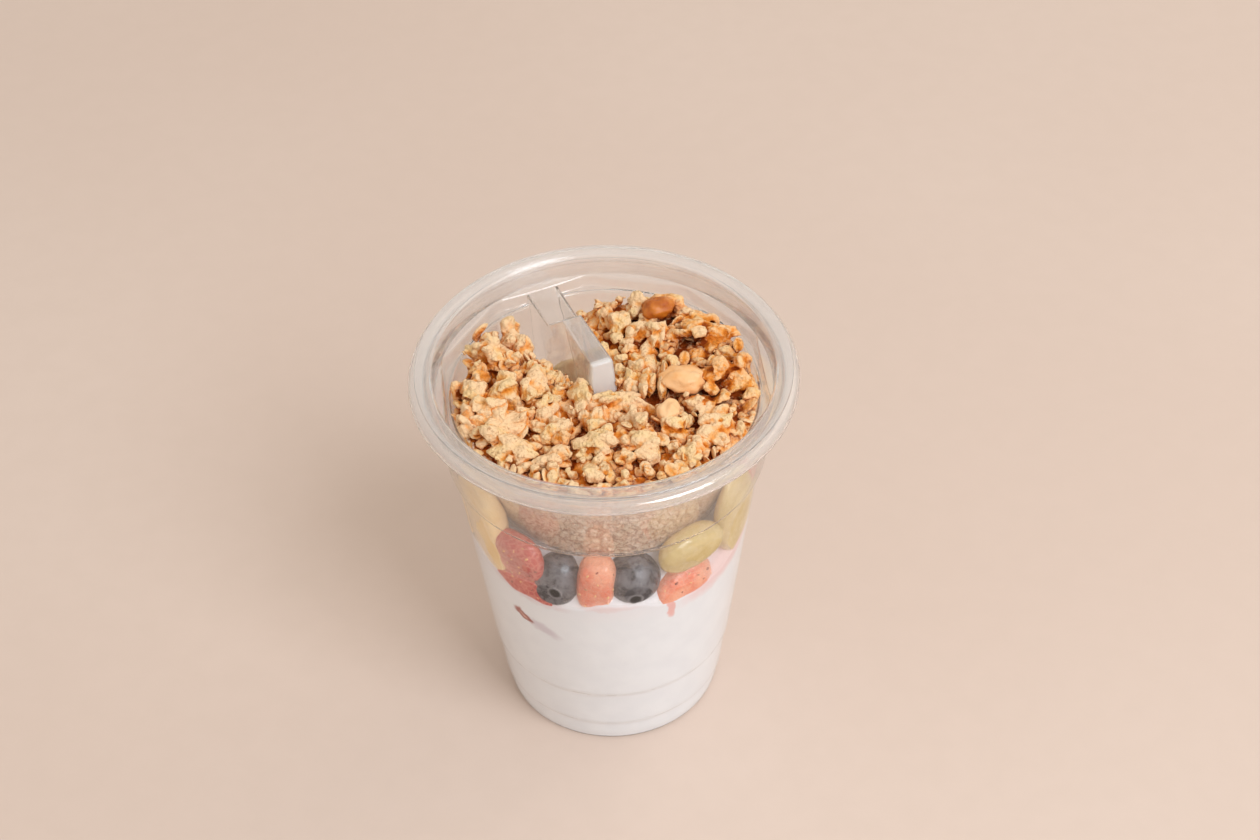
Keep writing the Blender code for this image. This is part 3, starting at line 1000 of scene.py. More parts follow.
def fruit_body(node, swell, rough, into_wall, levels=3):
    """A smooth, slightly uneven copy of a fruit's solid, pressed into its gap."""
    source = nodes[node].data.copy()
    full = mesh_points(source)
    body = placed(node + "_body", source)
    tidy(body, sharp_from=180.0)
    step = body.modifiers.new("smooth", "SUBSURF")
    step.levels = step.render_levels = levels
    piece = placed(node + "_fruit", evaluated_mesh(body))
    piece.data.materials.clear()
    points = mesh_points(piece.data)
    middle = (full.max(axis=0) + full.min(axis=0)) / 2
    turn = math.atan2(middle[1], middle[0])
    spin = np.array([[math.cos(turn), math.sin(turn), 0], [-math.sin(turn), math.cos(turn), 0],
                     [0, 0, 1]])
    local, goal = (points - middle) @ spin.T, (full - middle) @ spin.T
    wider, taller, along, up, out, lean = FULLER.get(node, (0.0,) * 6)
    size = np.ptp(goal, axis=0) + 2 * swell + (0.0, wider, taller)
    local = local * size / np.ptp(local, axis=0)
    tip, rise = math.sin(math.radians(lean)), math.cos(math.radians(lean))
    local = local @ np.array([[1, 0, 0], [0, rise, tip], [0, -tip, rise]]) + (out, along, up)
    points = local @ spin + middle
    points = roughened(points, *rough, seed=len(node))
    set_mesh_points(piece.data, press_in_gap(points, into_wall=into_wall))
    return tidy(piece, sharp_from=180.0)


print("fruit in the frame:", sum("berry" in name for name in nodes), "berries and slices")

# %% [markdown]
# ## Strawberries
#
# A cut strawberry is deep red at the skin and paler, almost orange, where it is cut or where it
# was not ripe. Fine pale veins run through it. Its seeds sit in dimples, all over the skin, a
# couple of millimetres apart, evenly spaced, and each lies along the surface. None are strewn
# where yogurt covers the skin or a berry is pressed into it.

# %% Strawberry finish
def make_strawberry_finish(name, ripe, pale, paleness):
    finish = Finish(name)
    patches = finish.speckle(8.0, detail=3.0)
    veins = finish.cells(1.9, "DISTANCE_TO_EDGE")
    grain = finish.speckle(0.5, detail=2.0)
    share = finish.smooth(patches, paleness - 0.18, paleness + 0.18, 1.0, 0.0)
    colour = finish.mix(share, ripe, pale)
    colour = finish.mix(finish.smooth(veins, 0.0, 0.16, 0.32, 0.0), colour, (0.85, 0.45, 0.33))
    colour = finish.mix(finish.smooth(grain, 0.35, 0.7) * 0.18, colour, (0.45, 0.05, 0.03))
    return finish.principled({
        "Base Color": colour, "Roughness": finish.smooth(patches, 0.3, 0.7, 0.28, 0.42),
        "Coat Weight": finish.smooth(patches, 0.4, 0.7, 0.1, 0.4),
        "Normal": finish.bump(finish.smooth(veins, 0.0, 0.3), depth_mm=0.06)})


print("strawberry finishes can be made")

# %% [markdown]
# One tree strews everything that is scattered in this object: seeds, clumps, crumbs and flakes. It
# spaces points evenly over the marked part of a surface, stands a piece on each, leans it a little
# at random, and lets small pieces outnumber large ones. Each piece keeps its own tone and home.

# %% The strewing tree
def make_strewing_tree():
    """Pieces from a collection, strewn over a surface and turned at random."""
    strewing = Growth("strewing", [
        ("Spacing", float), ("Smallest", float), ("Largest", float), ("Lift", float),
        ("Lean", float), ("Wanted", float), ("Seed", int)], ["Pieces"])
    seed = strewing.given("Seed")
    surface = strewing.given("Geometry")
    chosen = strewing.make("FunctionNodeCompare", {"data_type": "FLOAT"}, {
        0: strewing.attribute("wanted"), 1: 0.5})
    spread = strewing.node("GeometryNodeDistributePointsOnFaces",
                           {"distribute_method": "POISSON"}, {
                               "Mesh": surface, "Selection": chosen, "Seed": seed,
                               "Distance Min": strewing.given("Spacing"),
                               "Density Max": strewing.given("Wanted")})
    points = Signal(strewing, spread.outputs["Points"])
    normal = Signal(strewing, spread.outputs["Normal"])
    upright = strewing.make("FunctionNodeAlignRotationToVector", {"axis": "Z"}, {
        "Vector": normal})
    lean = strewing.given("Lean")
    tumble = strewing.random((-1.0,) * 3, (1.0,) * 3, seed, 1, "FLOAT_VECTOR")
    scaled = strewing.node("ShaderNodeVectorMath", {"operation": "MULTIPLY"}, {0: tumble})
    strewing.tree.links.new(strewing.vector(lean, lean, math.pi).socket, scaled.inputs[1])
    turn = strewing.make("FunctionNodeRotateRotation", {"rotation_space": "LOCAL"}, {
        0: upright, 1: strewing.make("FunctionNodeEulerToRotation", None, {
            0: Signal(strewing, scaled.outputs[0])})})
    share = strewing.random(0.0, 1.0, seed, 2)
    size = strewing.given("Smallest") + (
        strewing.given("Largest") - strewing.given("Smallest")) * share * share
    raised = strewing.node("ShaderNodeVectorMath", {"operation": "SCALE"}, {0: normal})
    strewing.tree.links.new((strewing.given("Lift") * size).socket, raised.inputs["Scale"])
    moved = strewing.make("GeometryNodeSetPosition", None, {
        "Geometry": points, "Offset": Signal(strewing, raised.outputs[0])})
    toned = strewing.make("GeometryNodeStoreNamedAttribute", {"data_type": "FLOAT"}, {
        "Geometry": moved, "Name": "tone", "Value": strewing.random(0.0, 1.0, seed, 3)})
    toned = strewing.make("GeometryNodeStoreNamedAttribute", {"data_type": "FLOAT_VECTOR"}, {
        "Geometry": toned, "Name": "home", "Value": strewing.make("GeometryNodeInputPosition")})
    pieces = strewing.make("GeometryNodeCollectionInfo", None, {
        0: strewing.given("Pieces"), "Separate Children": True, "Reset Children": True})
    strewn = strewing.make("GeometryNodeInstanceOnPoints", None, {
        "Points": toned, "Instance": pieces, "Pick Instance": True, "Rotation": turn,
        "Scale": size})
    return strewing.close(strewn)


strewing_tree = make_strewing_tree()


print("the strewing tree has", len(strewing_tree.nodes), "nodes")

# %% [markdown]
# What is strewn comes from a kit, which is a collection of a few small meshes. A seed is a flat
# oval of a few dozen faces, because it is repeated hundreds of times.

# %% Marks and kits
def marked(piece, wanted):
    """A copy of the piece's mesh with a mark from 0 to 1 that says where things are strewn."""
    mesh = piece.data.copy()
    store_mark(mesh, "wanted", wanted)
    return mesh


def kit(name, meshes):
    """A collection of pieces to strew."""
    collection = bpy.data.collections.new(name)
    bpy.context.scene.collection.children.link(collection)
    for mesh in meshes:
        collection.objects.link(bpy.data.objects.new(mesh.name, mesh))
    return collection


def put_away(collection):
    for item in list(collection.objects):
        bpy.data.objects.remove(item)
    bpy.data.collections.remove(collection)


BALL_RADIUS = 0.5


def ball_mesh(name, across, up, stretch=(1.0, 1.0, 1.0)):
    """A closed ball 1 across, stretched along x, y and z."""
    bm = bmesh.new()
    bmesh.ops.create_uvsphere(bm, u_segments=across, v_segments=up, radius=BALL_RADIUS)
    bmesh.ops.scale(bm, vec=stretch, verts=bm.verts)
    mesh = bpy.data.meshes.new(name)
    bm.to_mesh(mesh)
    bm.free()
    mesh.shade_smooth()
    return mesh


def seed_meshes():
    return [ball_mesh("seed_round", 6, 4, (0.6, 1.0, 0.4)),
            ball_mesh("seed_slim", 6, 4, (0.5, 1.1, 0.4))]


print("kits can be made")

# %% [markdown]
# Each strawberry is a fruit body with one of two finishes. The thin wedges in front are cut from
# an unripe berry and look orange, and the slices at the left are ripe and red.

# %% Strawberries
BERRY_ROOM = 7.0              # a berry's radius and a little more
SEED_REACH = 3.0              # seeds farther than this from the wall would never be seen


def near_berries(points):
    """Whether each point, in millimetres, is where a berry pushes the flesh aside."""
    near = np.zeros(len(points), bool)
    for node in nodes:
        if node.startswith("blueberry"):
            low, high = (np.array(corner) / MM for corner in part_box(node))
            near |= np.linalg.norm(points - (low + high) / 2, axis=1) < BERRY_ROOM
    return near


def make_strawberry(node, finish, seed_finish, seeds, number):
    body = fruit_body(node, swell=0.5, rough=(4.5, 0.3), into_wall=0.06)
    points = mesh_points(body.data)
    under = wall_inside(points[:, 2]) - np.hypot(points[:, 0], points[:, 1])
    turns = np.degrees(np.arctan2(points[:, 1], points[:, 0]))
    in_yogurt = points[:, 2] < np.array([yogurt_edge(turn) for turn in turns]) + 1.0
    mesh = marked(body, ((under < SEED_REACH) & ~in_yogurt & ~near_berries(points)) * 1.0)
    sown = grown(node + "_seeds", mesh, strewing_tree, Pieces=seeds, Spacing=2.5 * MM,
                 Wanted=2.5e5, Smallest=0.75 * MM, Largest=1.2 * MM, Lift=0.05, Lean=0.15,
                 Seed=number, Finish=seed_finish)
    seed_points = mesh_points(sown.data)
    set_mesh_points(sown.data, press_in_gap(seed_points, into_wall=0.14))
    body.data.materials.append(finish)
    hand_over(body, "strawberry", node)
    hand_over(tidy(sown, sharp_from=180.0, recalculate=False), "strawberry")


def make_seed_finish():
    finish = Finish("strawberry_seed")
    tone = finish.mark("tone")
    tint = finish.smooth(tone, 0.15, 0.45)
    return finish.principled({"Base Color": finish.mix(tint, (0.26, 0.045, 0.015), (0.84, 0.50, 0.22)),
                       "Roughness": 0.4})


strawberry_finishes = {
    "red": make_strawberry_finish("strawberry_red", (0.51, 0.06, 0.045), (0.68, 0.20, 0.15), 0.42),
    "orange": make_strawberry_finish("strawberry_orange", (0.80, 0.15, 0.06), (0.92, 0.42, 0.26),
                                     0.52),
}
STRAWBERRIES = {
    "strawberry_slice_left": "red", "strawberry_slice_low": "red",
    "strawberry_wedge_front": "orange", "strawberry_wedge_right": "orange",
    "strawberry_slice_right": "red", "strawberry_wedge_back": "red",
    "strawberry_slice_back": "orange", "strawberry_wedge_left": "red",
}
seeds = kit("seeds", seed_meshes())
seed_finish = make_seed_finish()
for number, (node, shade) in enumerate(STRAWBERRIES.items()):
    make_strawberry(node, strawberry_finishes[shade], seed_finish, seeds, number)
put_away(seeds)

# %% [markdown]
# ## Blueberries
#
# A blueberry is nearly black under a grey bloom that rubs off in patches. At its flower end is
# a small crown: a ring of five short lobes round a dimple. The crown is raised from the same
# skin by a rule of the angle from the crown's axis, and the rings of the mesh are drawn close
# together there, so that the dimple keeps a crisp edge.

# %% Blueberry finish
def make_blueberry_finish():
    finish = Finish("berry_skin")
    bloom = finish.speckle(3.2, detail=4.0, roughness=0.6)
    rub = finish.speckle(0.9, detail=3.0)
    share = finish.smooth(bloom + (rub - 0.5) * 0.3, 0.36, 0.62)
    colour = finish.mix(share, (0.018, 0.018, 0.027), (0.14, 0.135, 0.15))
    crown = finish.mark("crown")
    colour = finish.mix(finish.smooth(crown, -0.5, 0.0, 1.0, 0.0), colour, (0.20, 0.19, 0.20))
    # The near-black hole is partly the crown's own dark colour and partly painted shade in its dimple.
    colour = finish.mix(finish.smooth(crown, 0.1, 0.5), colour, (0.004, 0.003, 0.003))
    return finish.principled({
        "Base Color": colour,
        "Roughness": finish.math("MAXIMUM", finish.smooth(bloom, 0.35, 0.6, 0.2, 0.48), crown),
        "Normal": finish.bump(rub, depth_mm=0.08)})


print("the berry finish can be made")

# %% [markdown]
# The mesh's pole is put at the crown. A point's angle off the crown's axis then says all that is
# needed: how far the skin stands out there, and whether it is the dark hole, the pale rim or skin.

# %% Blueberries
CROWN_HOLE, CROWN_RIM = 0.20, 0.28      # angles off the crown's axis, in radians


def crown_rise(off_axis, around):
    """How far the skin stands up or sinks, as a share of the berry's radius."""
    lobes = 1.0 + 0.25 * np.cos(5 * around)
    rim = 0.25 * lobes ** 0.5
    ring = np.exp(-((off_axis - rim) / 0.06) ** 2) * 0.025 * lobes
    dimple = np.exp(-(off_axis / 0.18) ** 6) * 0.02
    return ring - dimple


def make_blueberry(node, finish, crown_out, shift, larger, number):
    low, high = (np.array(corner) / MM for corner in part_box(node))
    middle, size = (low + high) / 2, (high - low) / 2
    piece = placed(node + "_fruit", ball_mesh(node + "_fruit", 72, 54))
    away = math.atan2(middle[1], middle[0])
    axis = np.array((math.cos(away + crown_out[0]) * math.cos(crown_out[1]),
                     math.sin(away + crown_out[0]) * math.cos(crown_out[1]),
                     math.sin(crown_out[1])))
    side = np.cross(axis, (0.0, 0.0, 1.0))
    side /= np.linalg.norm(side)
    other = np.cross(axis, side)
    x, y, z = mesh_points(piece.data, BALL_RADIUS).T
    off_axis = math.pi * (np.arccos(np.clip(z, -1.0, 1.0)) / math.pi) ** 1.6
    around = np.arctan2(y, x)
    ring = np.sin(off_axis)
    units = (np.outer(np.cos(off_axis), axis) + np.outer(ring * np.cos(around), side)
             + np.outer(ring * np.sin(around), other))
    reach = 1.0 + crown_rise(off_axis, around) - 0.05 * np.abs(units @ axis) ** 3
    along = np.array((-math.sin(away), math.cos(away), 0.0))
    points = middle + along * shift[0] + (0, 0, shift[1])
    points = points + units * reach[:, None] * (size.mean() + 0.5 + np.array(larger))
    points = roughened(points, 4.0, 0.12, seed=number)
    inside = 1.0 / (1.0 + np.exp((off_axis - CROWN_HOLE) / 0.01))
    edge = np.exp(-((off_axis - CROWN_RIM) / 0.04) ** 2) * 0.5
    store_mark(piece.data, "crown", inside - edge * (1 - inside))
    set_mesh_points(piece.data, press_in_gap(points, into_wall=0.095))
    piece.data.materials.append(finish)
    hand_over(tidy(piece, sharp_from=180.0), "blueberry", node)


berry_skin = make_blueberry_finish()
BERRIES = {                   # crown: round from straight outwards and up; shift; extra size
    "blueberry_front_left": ((0.20, 0.06), (-0.1, -1.5), (0.75, 0.3, 1.8)),
    "blueberry_front_right": ((-0.10, -0.36), (-0.9, -0.2), (0.7, 0.7, 0.6)),
    "blueberry_right": ((0.6, 0.2), (0.0, 0.0), (0.0, 0.0, 0.3)),
    "blueberry_back": ((-0.5, -0.3), (0.0, 0.0), (0.0, 0.0, 0.3)),
    "blueberry_back_left": ((0.3, -0.5), (0.0, 0.0), (0.0, 0.0, 0.3)),
}
for number, (node, (crown_out, shift, larger)) in enumerate(BERRIES.items()):
    make_blueberry(node, berry_skin, crown_out, shift, larger, number)

# %% [markdown]
# ## Mango and grapes
#
# Mango slices are matt and pale yellow, with fine fibres that run along the slice. The grapes
# are olive and smooth, with paler clouds where the flesh shows through the skin.

# %% Mango and grapes
def make_mango_finish():
    finish = Finish("mango_flesh")
    x, y, z = finish.axes()
    wander = finish.speckle(6.0, detail=2.0)
    fibre = finish.math("SINE", z * 2.2 + (x - y) * 0.5 + wander * 9.0)
    colour = finish.mix(finish.smooth(wander, 0.3, 0.7), (0.84, 0.57, 0.24), (0.90, 0.66, 0.35))
    colour = finish.mix(finish.smooth(fibre, 0.2, 1.0) * 0.12, colour, (0.90, 0.72, 0.44))
    return finish.principled({"Base Color": colour, "Roughness": finish.smooth(wander, 0.3, 0.7, 0.3, 0.45),
                       "Coat Weight": finish.smooth(wander, 0.4, 0.7, 0.0, 0.3),
                       "Normal": finish.bump(fibre, depth_mm=0.05)})


def make_grape_finish():
    finish = Finish("grape_skin")
    patches = finish.speckle(7.0, detail=2.0)
    fine = finish.speckle(1.2, detail=3.0)
    clouds = finish.speckle(3.0, detail=2.0)
    colour = finish.mix(finish.smooth(patches, 0.3, 0.7), (0.57, 0.41, 0.15), (0.64, 0.49, 0.22))
    colour = finish.mix(finish.smooth(clouds, 0.45, 0.7) * 0.5, colour, (0.72, 0.57, 0.32))
    colour = finish.mix(finish.smooth(fine, 0.5, 0.75) * 0.2, colour, (0.45, 0.33, 0.10))
    return finish.principled({"Base Color": colour, "Roughness": finish.smooth(fine, 0.3, 0.7, 0.18, 0.3),
                       "Normal": finish.bump(patches, depth_mm=0.15)})


mango_flesh, grape_skin = make_mango_finish(), make_grape_finish()
for node in ("mango_slice_left", "mango_slice_back_right"):
    piece = fruit_body(node, swell=1.3, rough=(7.0, 0.5), into_wall=0.03)
    piece.data.materials.append(mango_flesh)
    hand_over(piece, "mango", node)
for node in ("grape_right", "grape_far_right", "grape_back"):
    piece = fruit_body(node, swell=1.0, rough=(9.0, 0.25), into_wall=0.04)
    piece.data.materials.append(grape_skin)
    hand_over(piece, "grape", node)

# %% [markdown]
# ## Granola
#
# The granola is a heap of baked clumps. A clump is a handful of oat flakes and crisp bits stuck
# together, so each one is made that way: angular chips are packed round a heart or two, fused
# into one skin, and roughened. Every point of a clump remembers how hollow the skin is there,
# because the finish browns the creases, partly as real toasting and partly as painted shade, and
# dusts the bumps with pale crumbs.

# %% Creases
def neighbour_means(points, edges, passes):
    """Points moved to the middle of their neighbours, so many times."""
    first, second = edges.T
    ends = np.concatenate([first, second])
    others = np.concatenate([second, first])
    count = np.maximum(np.bincount(ends, minlength=len(points)), 1)[:, None]
    for _ in range(passes):
        sums = [np.bincount(ends, weights=column[others], minlength=len(points))
                for column in points.T]
        points = np.stack(sums, axis=1) / count
    return points


def mark_creases(mesh, passes, depth):
    """Store how hollow the skin is: 0 on a bump, 0.5 where flat and 1 in a crease."""
    points = mesh_points(mesh, 1.0)
    away = neighbour_means(points, mesh_edges(mesh), passes) - points
    along_normal = (away * mesh_normals(mesh)).sum(axis=1)
    store_mark(mesh, "crease", np.clip(0.5 + along_normal / (2 * depth), 0.0, 1.0))


print("creases can be marked")

# %% [markdown]
# A clump is made about 1 across and scaled when it is strewn. The voxel remesh melts the chips
# together, noise and a cell pattern roughen the skin, and a decimation brings the count of faces
# down to what a piece of its size needs. A flake is a bent oval with a furrow along it.

# %% Clumps, crumbs and flakes
CHIP_CORNERS, CHIP_RADIUS = 16, 0.55


def clump_mesh(name, seed, grains, grain, shape, voxel, keep, rough=0.05, pitch=3.2):
    """A clump about 1 across, from fused grains; keep is the share of faces left at the end."""
    chance = np.random.default_rng(seed)
    bm = bmesh.new()
    hearts = 1 + grains // 4
    for number in range(hearts + grains):
        way = chance.normal(size=3)
        way /= np.linalg.norm(way)
        if number < hearts:
            way, size = way * 0.2 * chance.random(), 0.55
        else:
            way, size = way * (0.5 - 0.35 * grain), grain * chance.uniform(0.6, 1.2)
        scale = (size, size * chance.uniform(0.6, 0.95), size * chance.uniform(0.5, 0.85))
        turn = Euler(chance.uniform(-math.pi, math.pi, 3))
        place = Matrix.LocRotScale(Vector(way * shape), turn, Vector(scale))
        corners = chance.normal(size=(CHIP_CORNERS, 3))
        corners *= CHIP_RADIUS / np.linalg.norm(corners, axis=1)[:, None]
        chip = [bm.verts.new(place @ Vector(corner)) for corner in corners]
        spare = bmesh.ops.convex_hull(bm, input=chip)["geom_interior"]
        bmesh.ops.delete(bm, geom=spare, context="VERTS")
    mesh = bpy.data.meshes.new(name)
    bm.to_mesh(mesh)
    bm.free()
    holder = placed(name, mesh)
    fuse = holder.modifiers.new("fuse", "REMESH")
    fuse.mode = "VOXEL"
    fuse.voxel_size = voxel
    soften = holder.modifiers.new("soften", "SMOOTH")
    soften.factor = 0.5
    soften.iterations = 1
    mesh = evaluated_mesh(holder)
    points = mesh_points(mesh, 1.0)
    shift = Vector((seed, 0, 0))
    waves = np.array([noise.fractal(Vector(p) * pitch + shift, 0.8, 2.2, 3) for p in points])
    near = np.array([noise.voronoi(Vector(p) * pitch * 2.6 + shift)[0][:2] for p in points])
    crumb = np.sqrt(np.clip(near[:, 1] - near[:, 0], 0.0, 0.5)) - 0.4
    push = waves * rough + crumb * rough * 0.55
    set_mesh_points(mesh, points + mesh_normals(mesh) * push[:, None], 1.0)
    holder = placed(name, mesh)
    fewer = holder.modifiers.new("fewer", "DECIMATE")
    fewer.ratio = keep
    mesh = evaluated_mesh(holder)
    mesh.name = name
    mesh.materials.clear()
    mark_creases(mesh, 9, 1.1 * voxel)
    mesh.shade_smooth()
    return mesh


def flake_mesh(name, seed, length, width, thick):
    """A rolled oat about 1 long: a bent disc with a furrow along it."""
    chance = np.random.default_rng(seed)
    mesh = ball_mesh(name, 12, 7, (length, width, thick))
    x, y, z = mesh_points(mesh, 1.0).T
    bend, furrow = chance.uniform(-0.4, 0.4), chance.uniform(0.02, 0.06)
    z += bend * x * x + 0.3 * y * y - furrow * np.exp(-(y / 0.08) ** 2)
    y *= 1.0 + chance.uniform(-0.3, 0.3) * x
    set_mesh_points(mesh, np.stack([x, y, z], axis=1), 1.0)
    mark_creases(mesh, 2, 0.05)
    return mesh


clumps = [clump_mesh("clump_%d" % n, n, 4 + n % 4, 0.5, (1.0, 0.85, 0.75), 0.045, 0.42)
          for n in range(10)]
crumbs = [clump_mesh("crumb_%d" % n, 40 + n, 3, 0.62, (1.0, 0.9, 0.8), 0.13, 0.5)
          for n in range(5)]
flakes = [flake_mesh("flake_%d" % n, 60 + n, 1.0, w, t)
          for n, (w, t) in enumerate([(0.72, 0.2), (0.6, 0.24), (0.8, 0.18), (0.42, 0.3)])]
for mesh in (clumps[0], crumbs[0], flakes[0]):
    mesh.calc_loop_triangles()
    print(mesh.name, len(mesh.loop_triangles), "triangles")

# %% [markdown]
# Baked oats run from cream on the bumps through amber to dark brown in the gaps. Browner creases
# are partly the real toasting and partly painted shade. The deep orange where other clumps shut
# a point in is painted shade and bounced light. The heap is toasted more at the back right. Low
# down, where the heap is pressed against the tray and seen through it and the cup, it is painted
# paler as a painted veil of light and reflection off the sheets, with painted shade in the fine
# gaps between the bits. One finish does all of this, and is made three times: for clumps, for
# the core between them, whose top is browned as painted shade, and for the bits against the tray.

# %% Granola finish
# The side below these heights is painted paler, as a painted veil of light and reflection off the sheets,
# with painted shade in its gaps.
SIDE_FROM, SIDE_TO = 92.5, 96.5         # the pale side fades out between these heights


def make_granola_finish(name, shift, painted_veil_all_over=0.0):
    """Baked oats: shift browns the top of the heap as painted shade, and the last setting pales all of it
    as a painted veil of light.
    """
    finish = Finish(name)
    tone = finish.mark("tone")
    crease = finish.mark("crease")
    shut_in = finish.mark("shut_in")
    x, y, z = finish.axes()
    mottle = finish.speckle(3.4, detail=4.0, roughness=0.6)
    dust = finish.speckle(0.7, detail=3.0, roughness=0.7)
    patch = finish.speckle(10.0, detail=1.0)
    side = finish.smooth(z, SIDE_FROM, SIDE_TO, 1.0, 0.0)
    toasted = finish.smooth(x, 12.0, 32.0) * finish.smooth(y, -14.0, 6.0)
    # This sum mixes real browning with painted shade. The crease mark is partly toasting and partly painted
    # shade. How shut in a point is adds painted shade and bounced light. Shift browns the top as painted
    # shade, and the side is painted paler.
    browning_and_painted_shade = (tone * 0.42 + (crease - 0.5) * 0.55 + (mottle - 0.5) * 0.8 + shut_in * 1.15
               + toasted * 0.3 + (patch - 0.5) * 1.1 - 0.22 + (1.0 - side) * shift - side * 0.2)
    colour = finish.ramp(browning_and_painted_shade, [
        (0.0, (0.92, 0.60, 0.34)), (0.25, (0.90, 0.46, 0.18)), (0.5, (0.84, 0.30, 0.05)),
        (0.75, (0.60, 0.15, 0.010)), (1.0, (0.24, 0.036, 0.001))])
    butter = finish.smooth(finish.speckle(7.0, detail=2.0), 0.45, 0.65)
    colour = finish.mix(butter * 0.7, colour, (0.94, 1.0, 0.80), blend="MULTIPLY")
    pale = finish.smooth(dust + (0.5 - crease) * 0.5, 0.56, 0.70)
    colour = finish.mix(pale * 0.35, colour, (0.90, 0.66, 0.40))
    # A painted veil: the side, and all of it when asked, is painted paler, and painted shade darkens the
    # fine gaps between the pressed bits.
    painted_veil = finish.math("MAXIMUM", side * 0.45, painted_veil_all_over)
    colour = finish.mix(painted_veil, colour, (0.98, 0.86, 0.77))
    painted_gap_shade = finish.smooth(finish.cells(2.2, "DISTANCE_TO_EDGE"), 0.02, 0.18, 1.0, 0.0)
    colour = finish.mix(painted_gap_shade * painted_veil * 2.2 * finish.smooth(dust, 0.38, 0.58), colour,
                        (0.46, 0.21, 0.11))
    specks = finish.smooth(finish.speckle(1.1, detail=2.0), 0.62, 0.69)
    colour = finish.mix(specks * 0.45, colour, (0.36, 0.12, 0.03))
    pits = finish.cells(1.0, "F1")
    grain = finish.bump(dust - pits * 1.3, depth_mm=0.4)
    return finish.principled({
        "Base Color": colour, "Specular IOR Level": 0.15,
        "Roughness": finish.smooth(mottle, 0.3, 0.7, 0.6, 0.85),
        "Normal": finish.bump(mottle, depth_mm=0.5, over=grain)})


# The core between the clumps is browned on top as painted shade, and the bits against the tray are painted
# paler as a painted veil.
baked = make_granola_finish("baked_oats", 0.0)
shaded = make_granola_finish("oat_dust", 0.4)
pressed = make_granola_finish("pressed_oats", 0.0, painted_veil_all_over=0.45)
print("granola finishes are ready")

# %% [markdown]
# ## The heap
#
# Under the clumps is a core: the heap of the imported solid, lowered so that the clumps rise
# through it to the solid's outline, and with packed grains as relief on its side. Clumps,
# crumbs and flakes are strewn over it by the same tree that sowed the seeds. Whatever would
# pass through the bowl is pressed flat against it, which is how granola looks behind plastic.

# %% Outline of the heap
HEAP = BVHTree.FromObject(nodes["granola"], bpy.context.evaluated_depsgraph_get())
HEAP_REACH = 36.5
HEAP_LOWEST, HEAP_EDGE = 85.0, 101.0    # a lower find is the heap's side, so the edge stands in
HOLLOWS = [                   # x, y, drop and radius where the heap is low beside the ridge
    (-14.0, 19.0, 9.0, 6.0), (-7.0, 8.0, 6.0, 5.0), (-17.0, 28.0, 12.0, 7.0),
]
SINK = 3.4                    # the core's top lies this far under the heap's outline
CORE_FLOOR = BOWL_FLOOR + 0.25
CORE_FOOT = BOWL_FLOOR + 1.2


def heap_height(x, y):
    """Height of the heap's outline over a point, in millimetres."""
    top = Vector((x, y, 200.0)) * MM
    found = HEAP.ray_cast(top, Vector((0, 0, -1)))[0]
    height = found.z / MM if found and found.z > HEAP_LOWEST * MM else HEAP_EDGE
    for at_x, at_y, drop, radius in HOLLOWS:
        height -= drop * math.exp(-((x - at_x) ** 2 + (y - at_y) ** 2) / radius ** 2)
    return height


def press_in_tray(points, homes=None, spare=0.1):
    """Keep points, in millimetres, inside the bowl and off the ridge, on their home's side."""
    points = points.copy()
    homes = points if homes is None else homes
    top = np.interp(points[:, 2], [BOWL[1][0], BOWL[1][0] + 1.0], [0.0, 0.8])
    limit = bowl_inside(points[:, 2]) + top - spare
    reach = np.hypot(points[:, 0], points[:, 1])
    points[:, :2] *= np.minimum(1.0, limit / np.maximum(reach, 1e-6))[:, None]
    points[:, 2] = np.maximum(points[:, 2], BOWL_FLOOR + spare)
    out = np.array(RIDGE_OUT)
    side = np.array((out[1], -out[0]))
    n, t, z = ridge_frame(points).T
    home_n, home_t, _ = ridge_frame(homes).T
    reaches, tops, halves = (np.array(column) for column in zip(*RIDGE_TOPS))
    drop = np.maximum(np.interp(n, reaches, tops) - z, -1.0) * RIDGE_DRAFT
    half = np.interp(n, reaches, halves) + drop + spare
    front = RIDGE_TOPS[0][0] - drop - spare
    inside = (n > front) & (np.abs(t) < half) & (z < np.interp(n, reaches, tops) + 0.5)
    forward = inside & (home_n < front + 1.5)
    sideways = inside & ~forward
    n = np.where(forward, front, n)
    t = np.where(sideways, np.where(home_t < 0, -half, half), t)
    points[:, :2] = n[:, None] * out + t[:, None] * side
    return points


print("heap in the middle:", round(heap_height(10.0, 10.0), 1), "mm high")

# %% [markdown]
# The core is a stack of rings like the yogurt. It follows the bowl with shallow clefts between
# lumps, and then runs inwards over the top. The room for the ridge is cut out of it at the end.

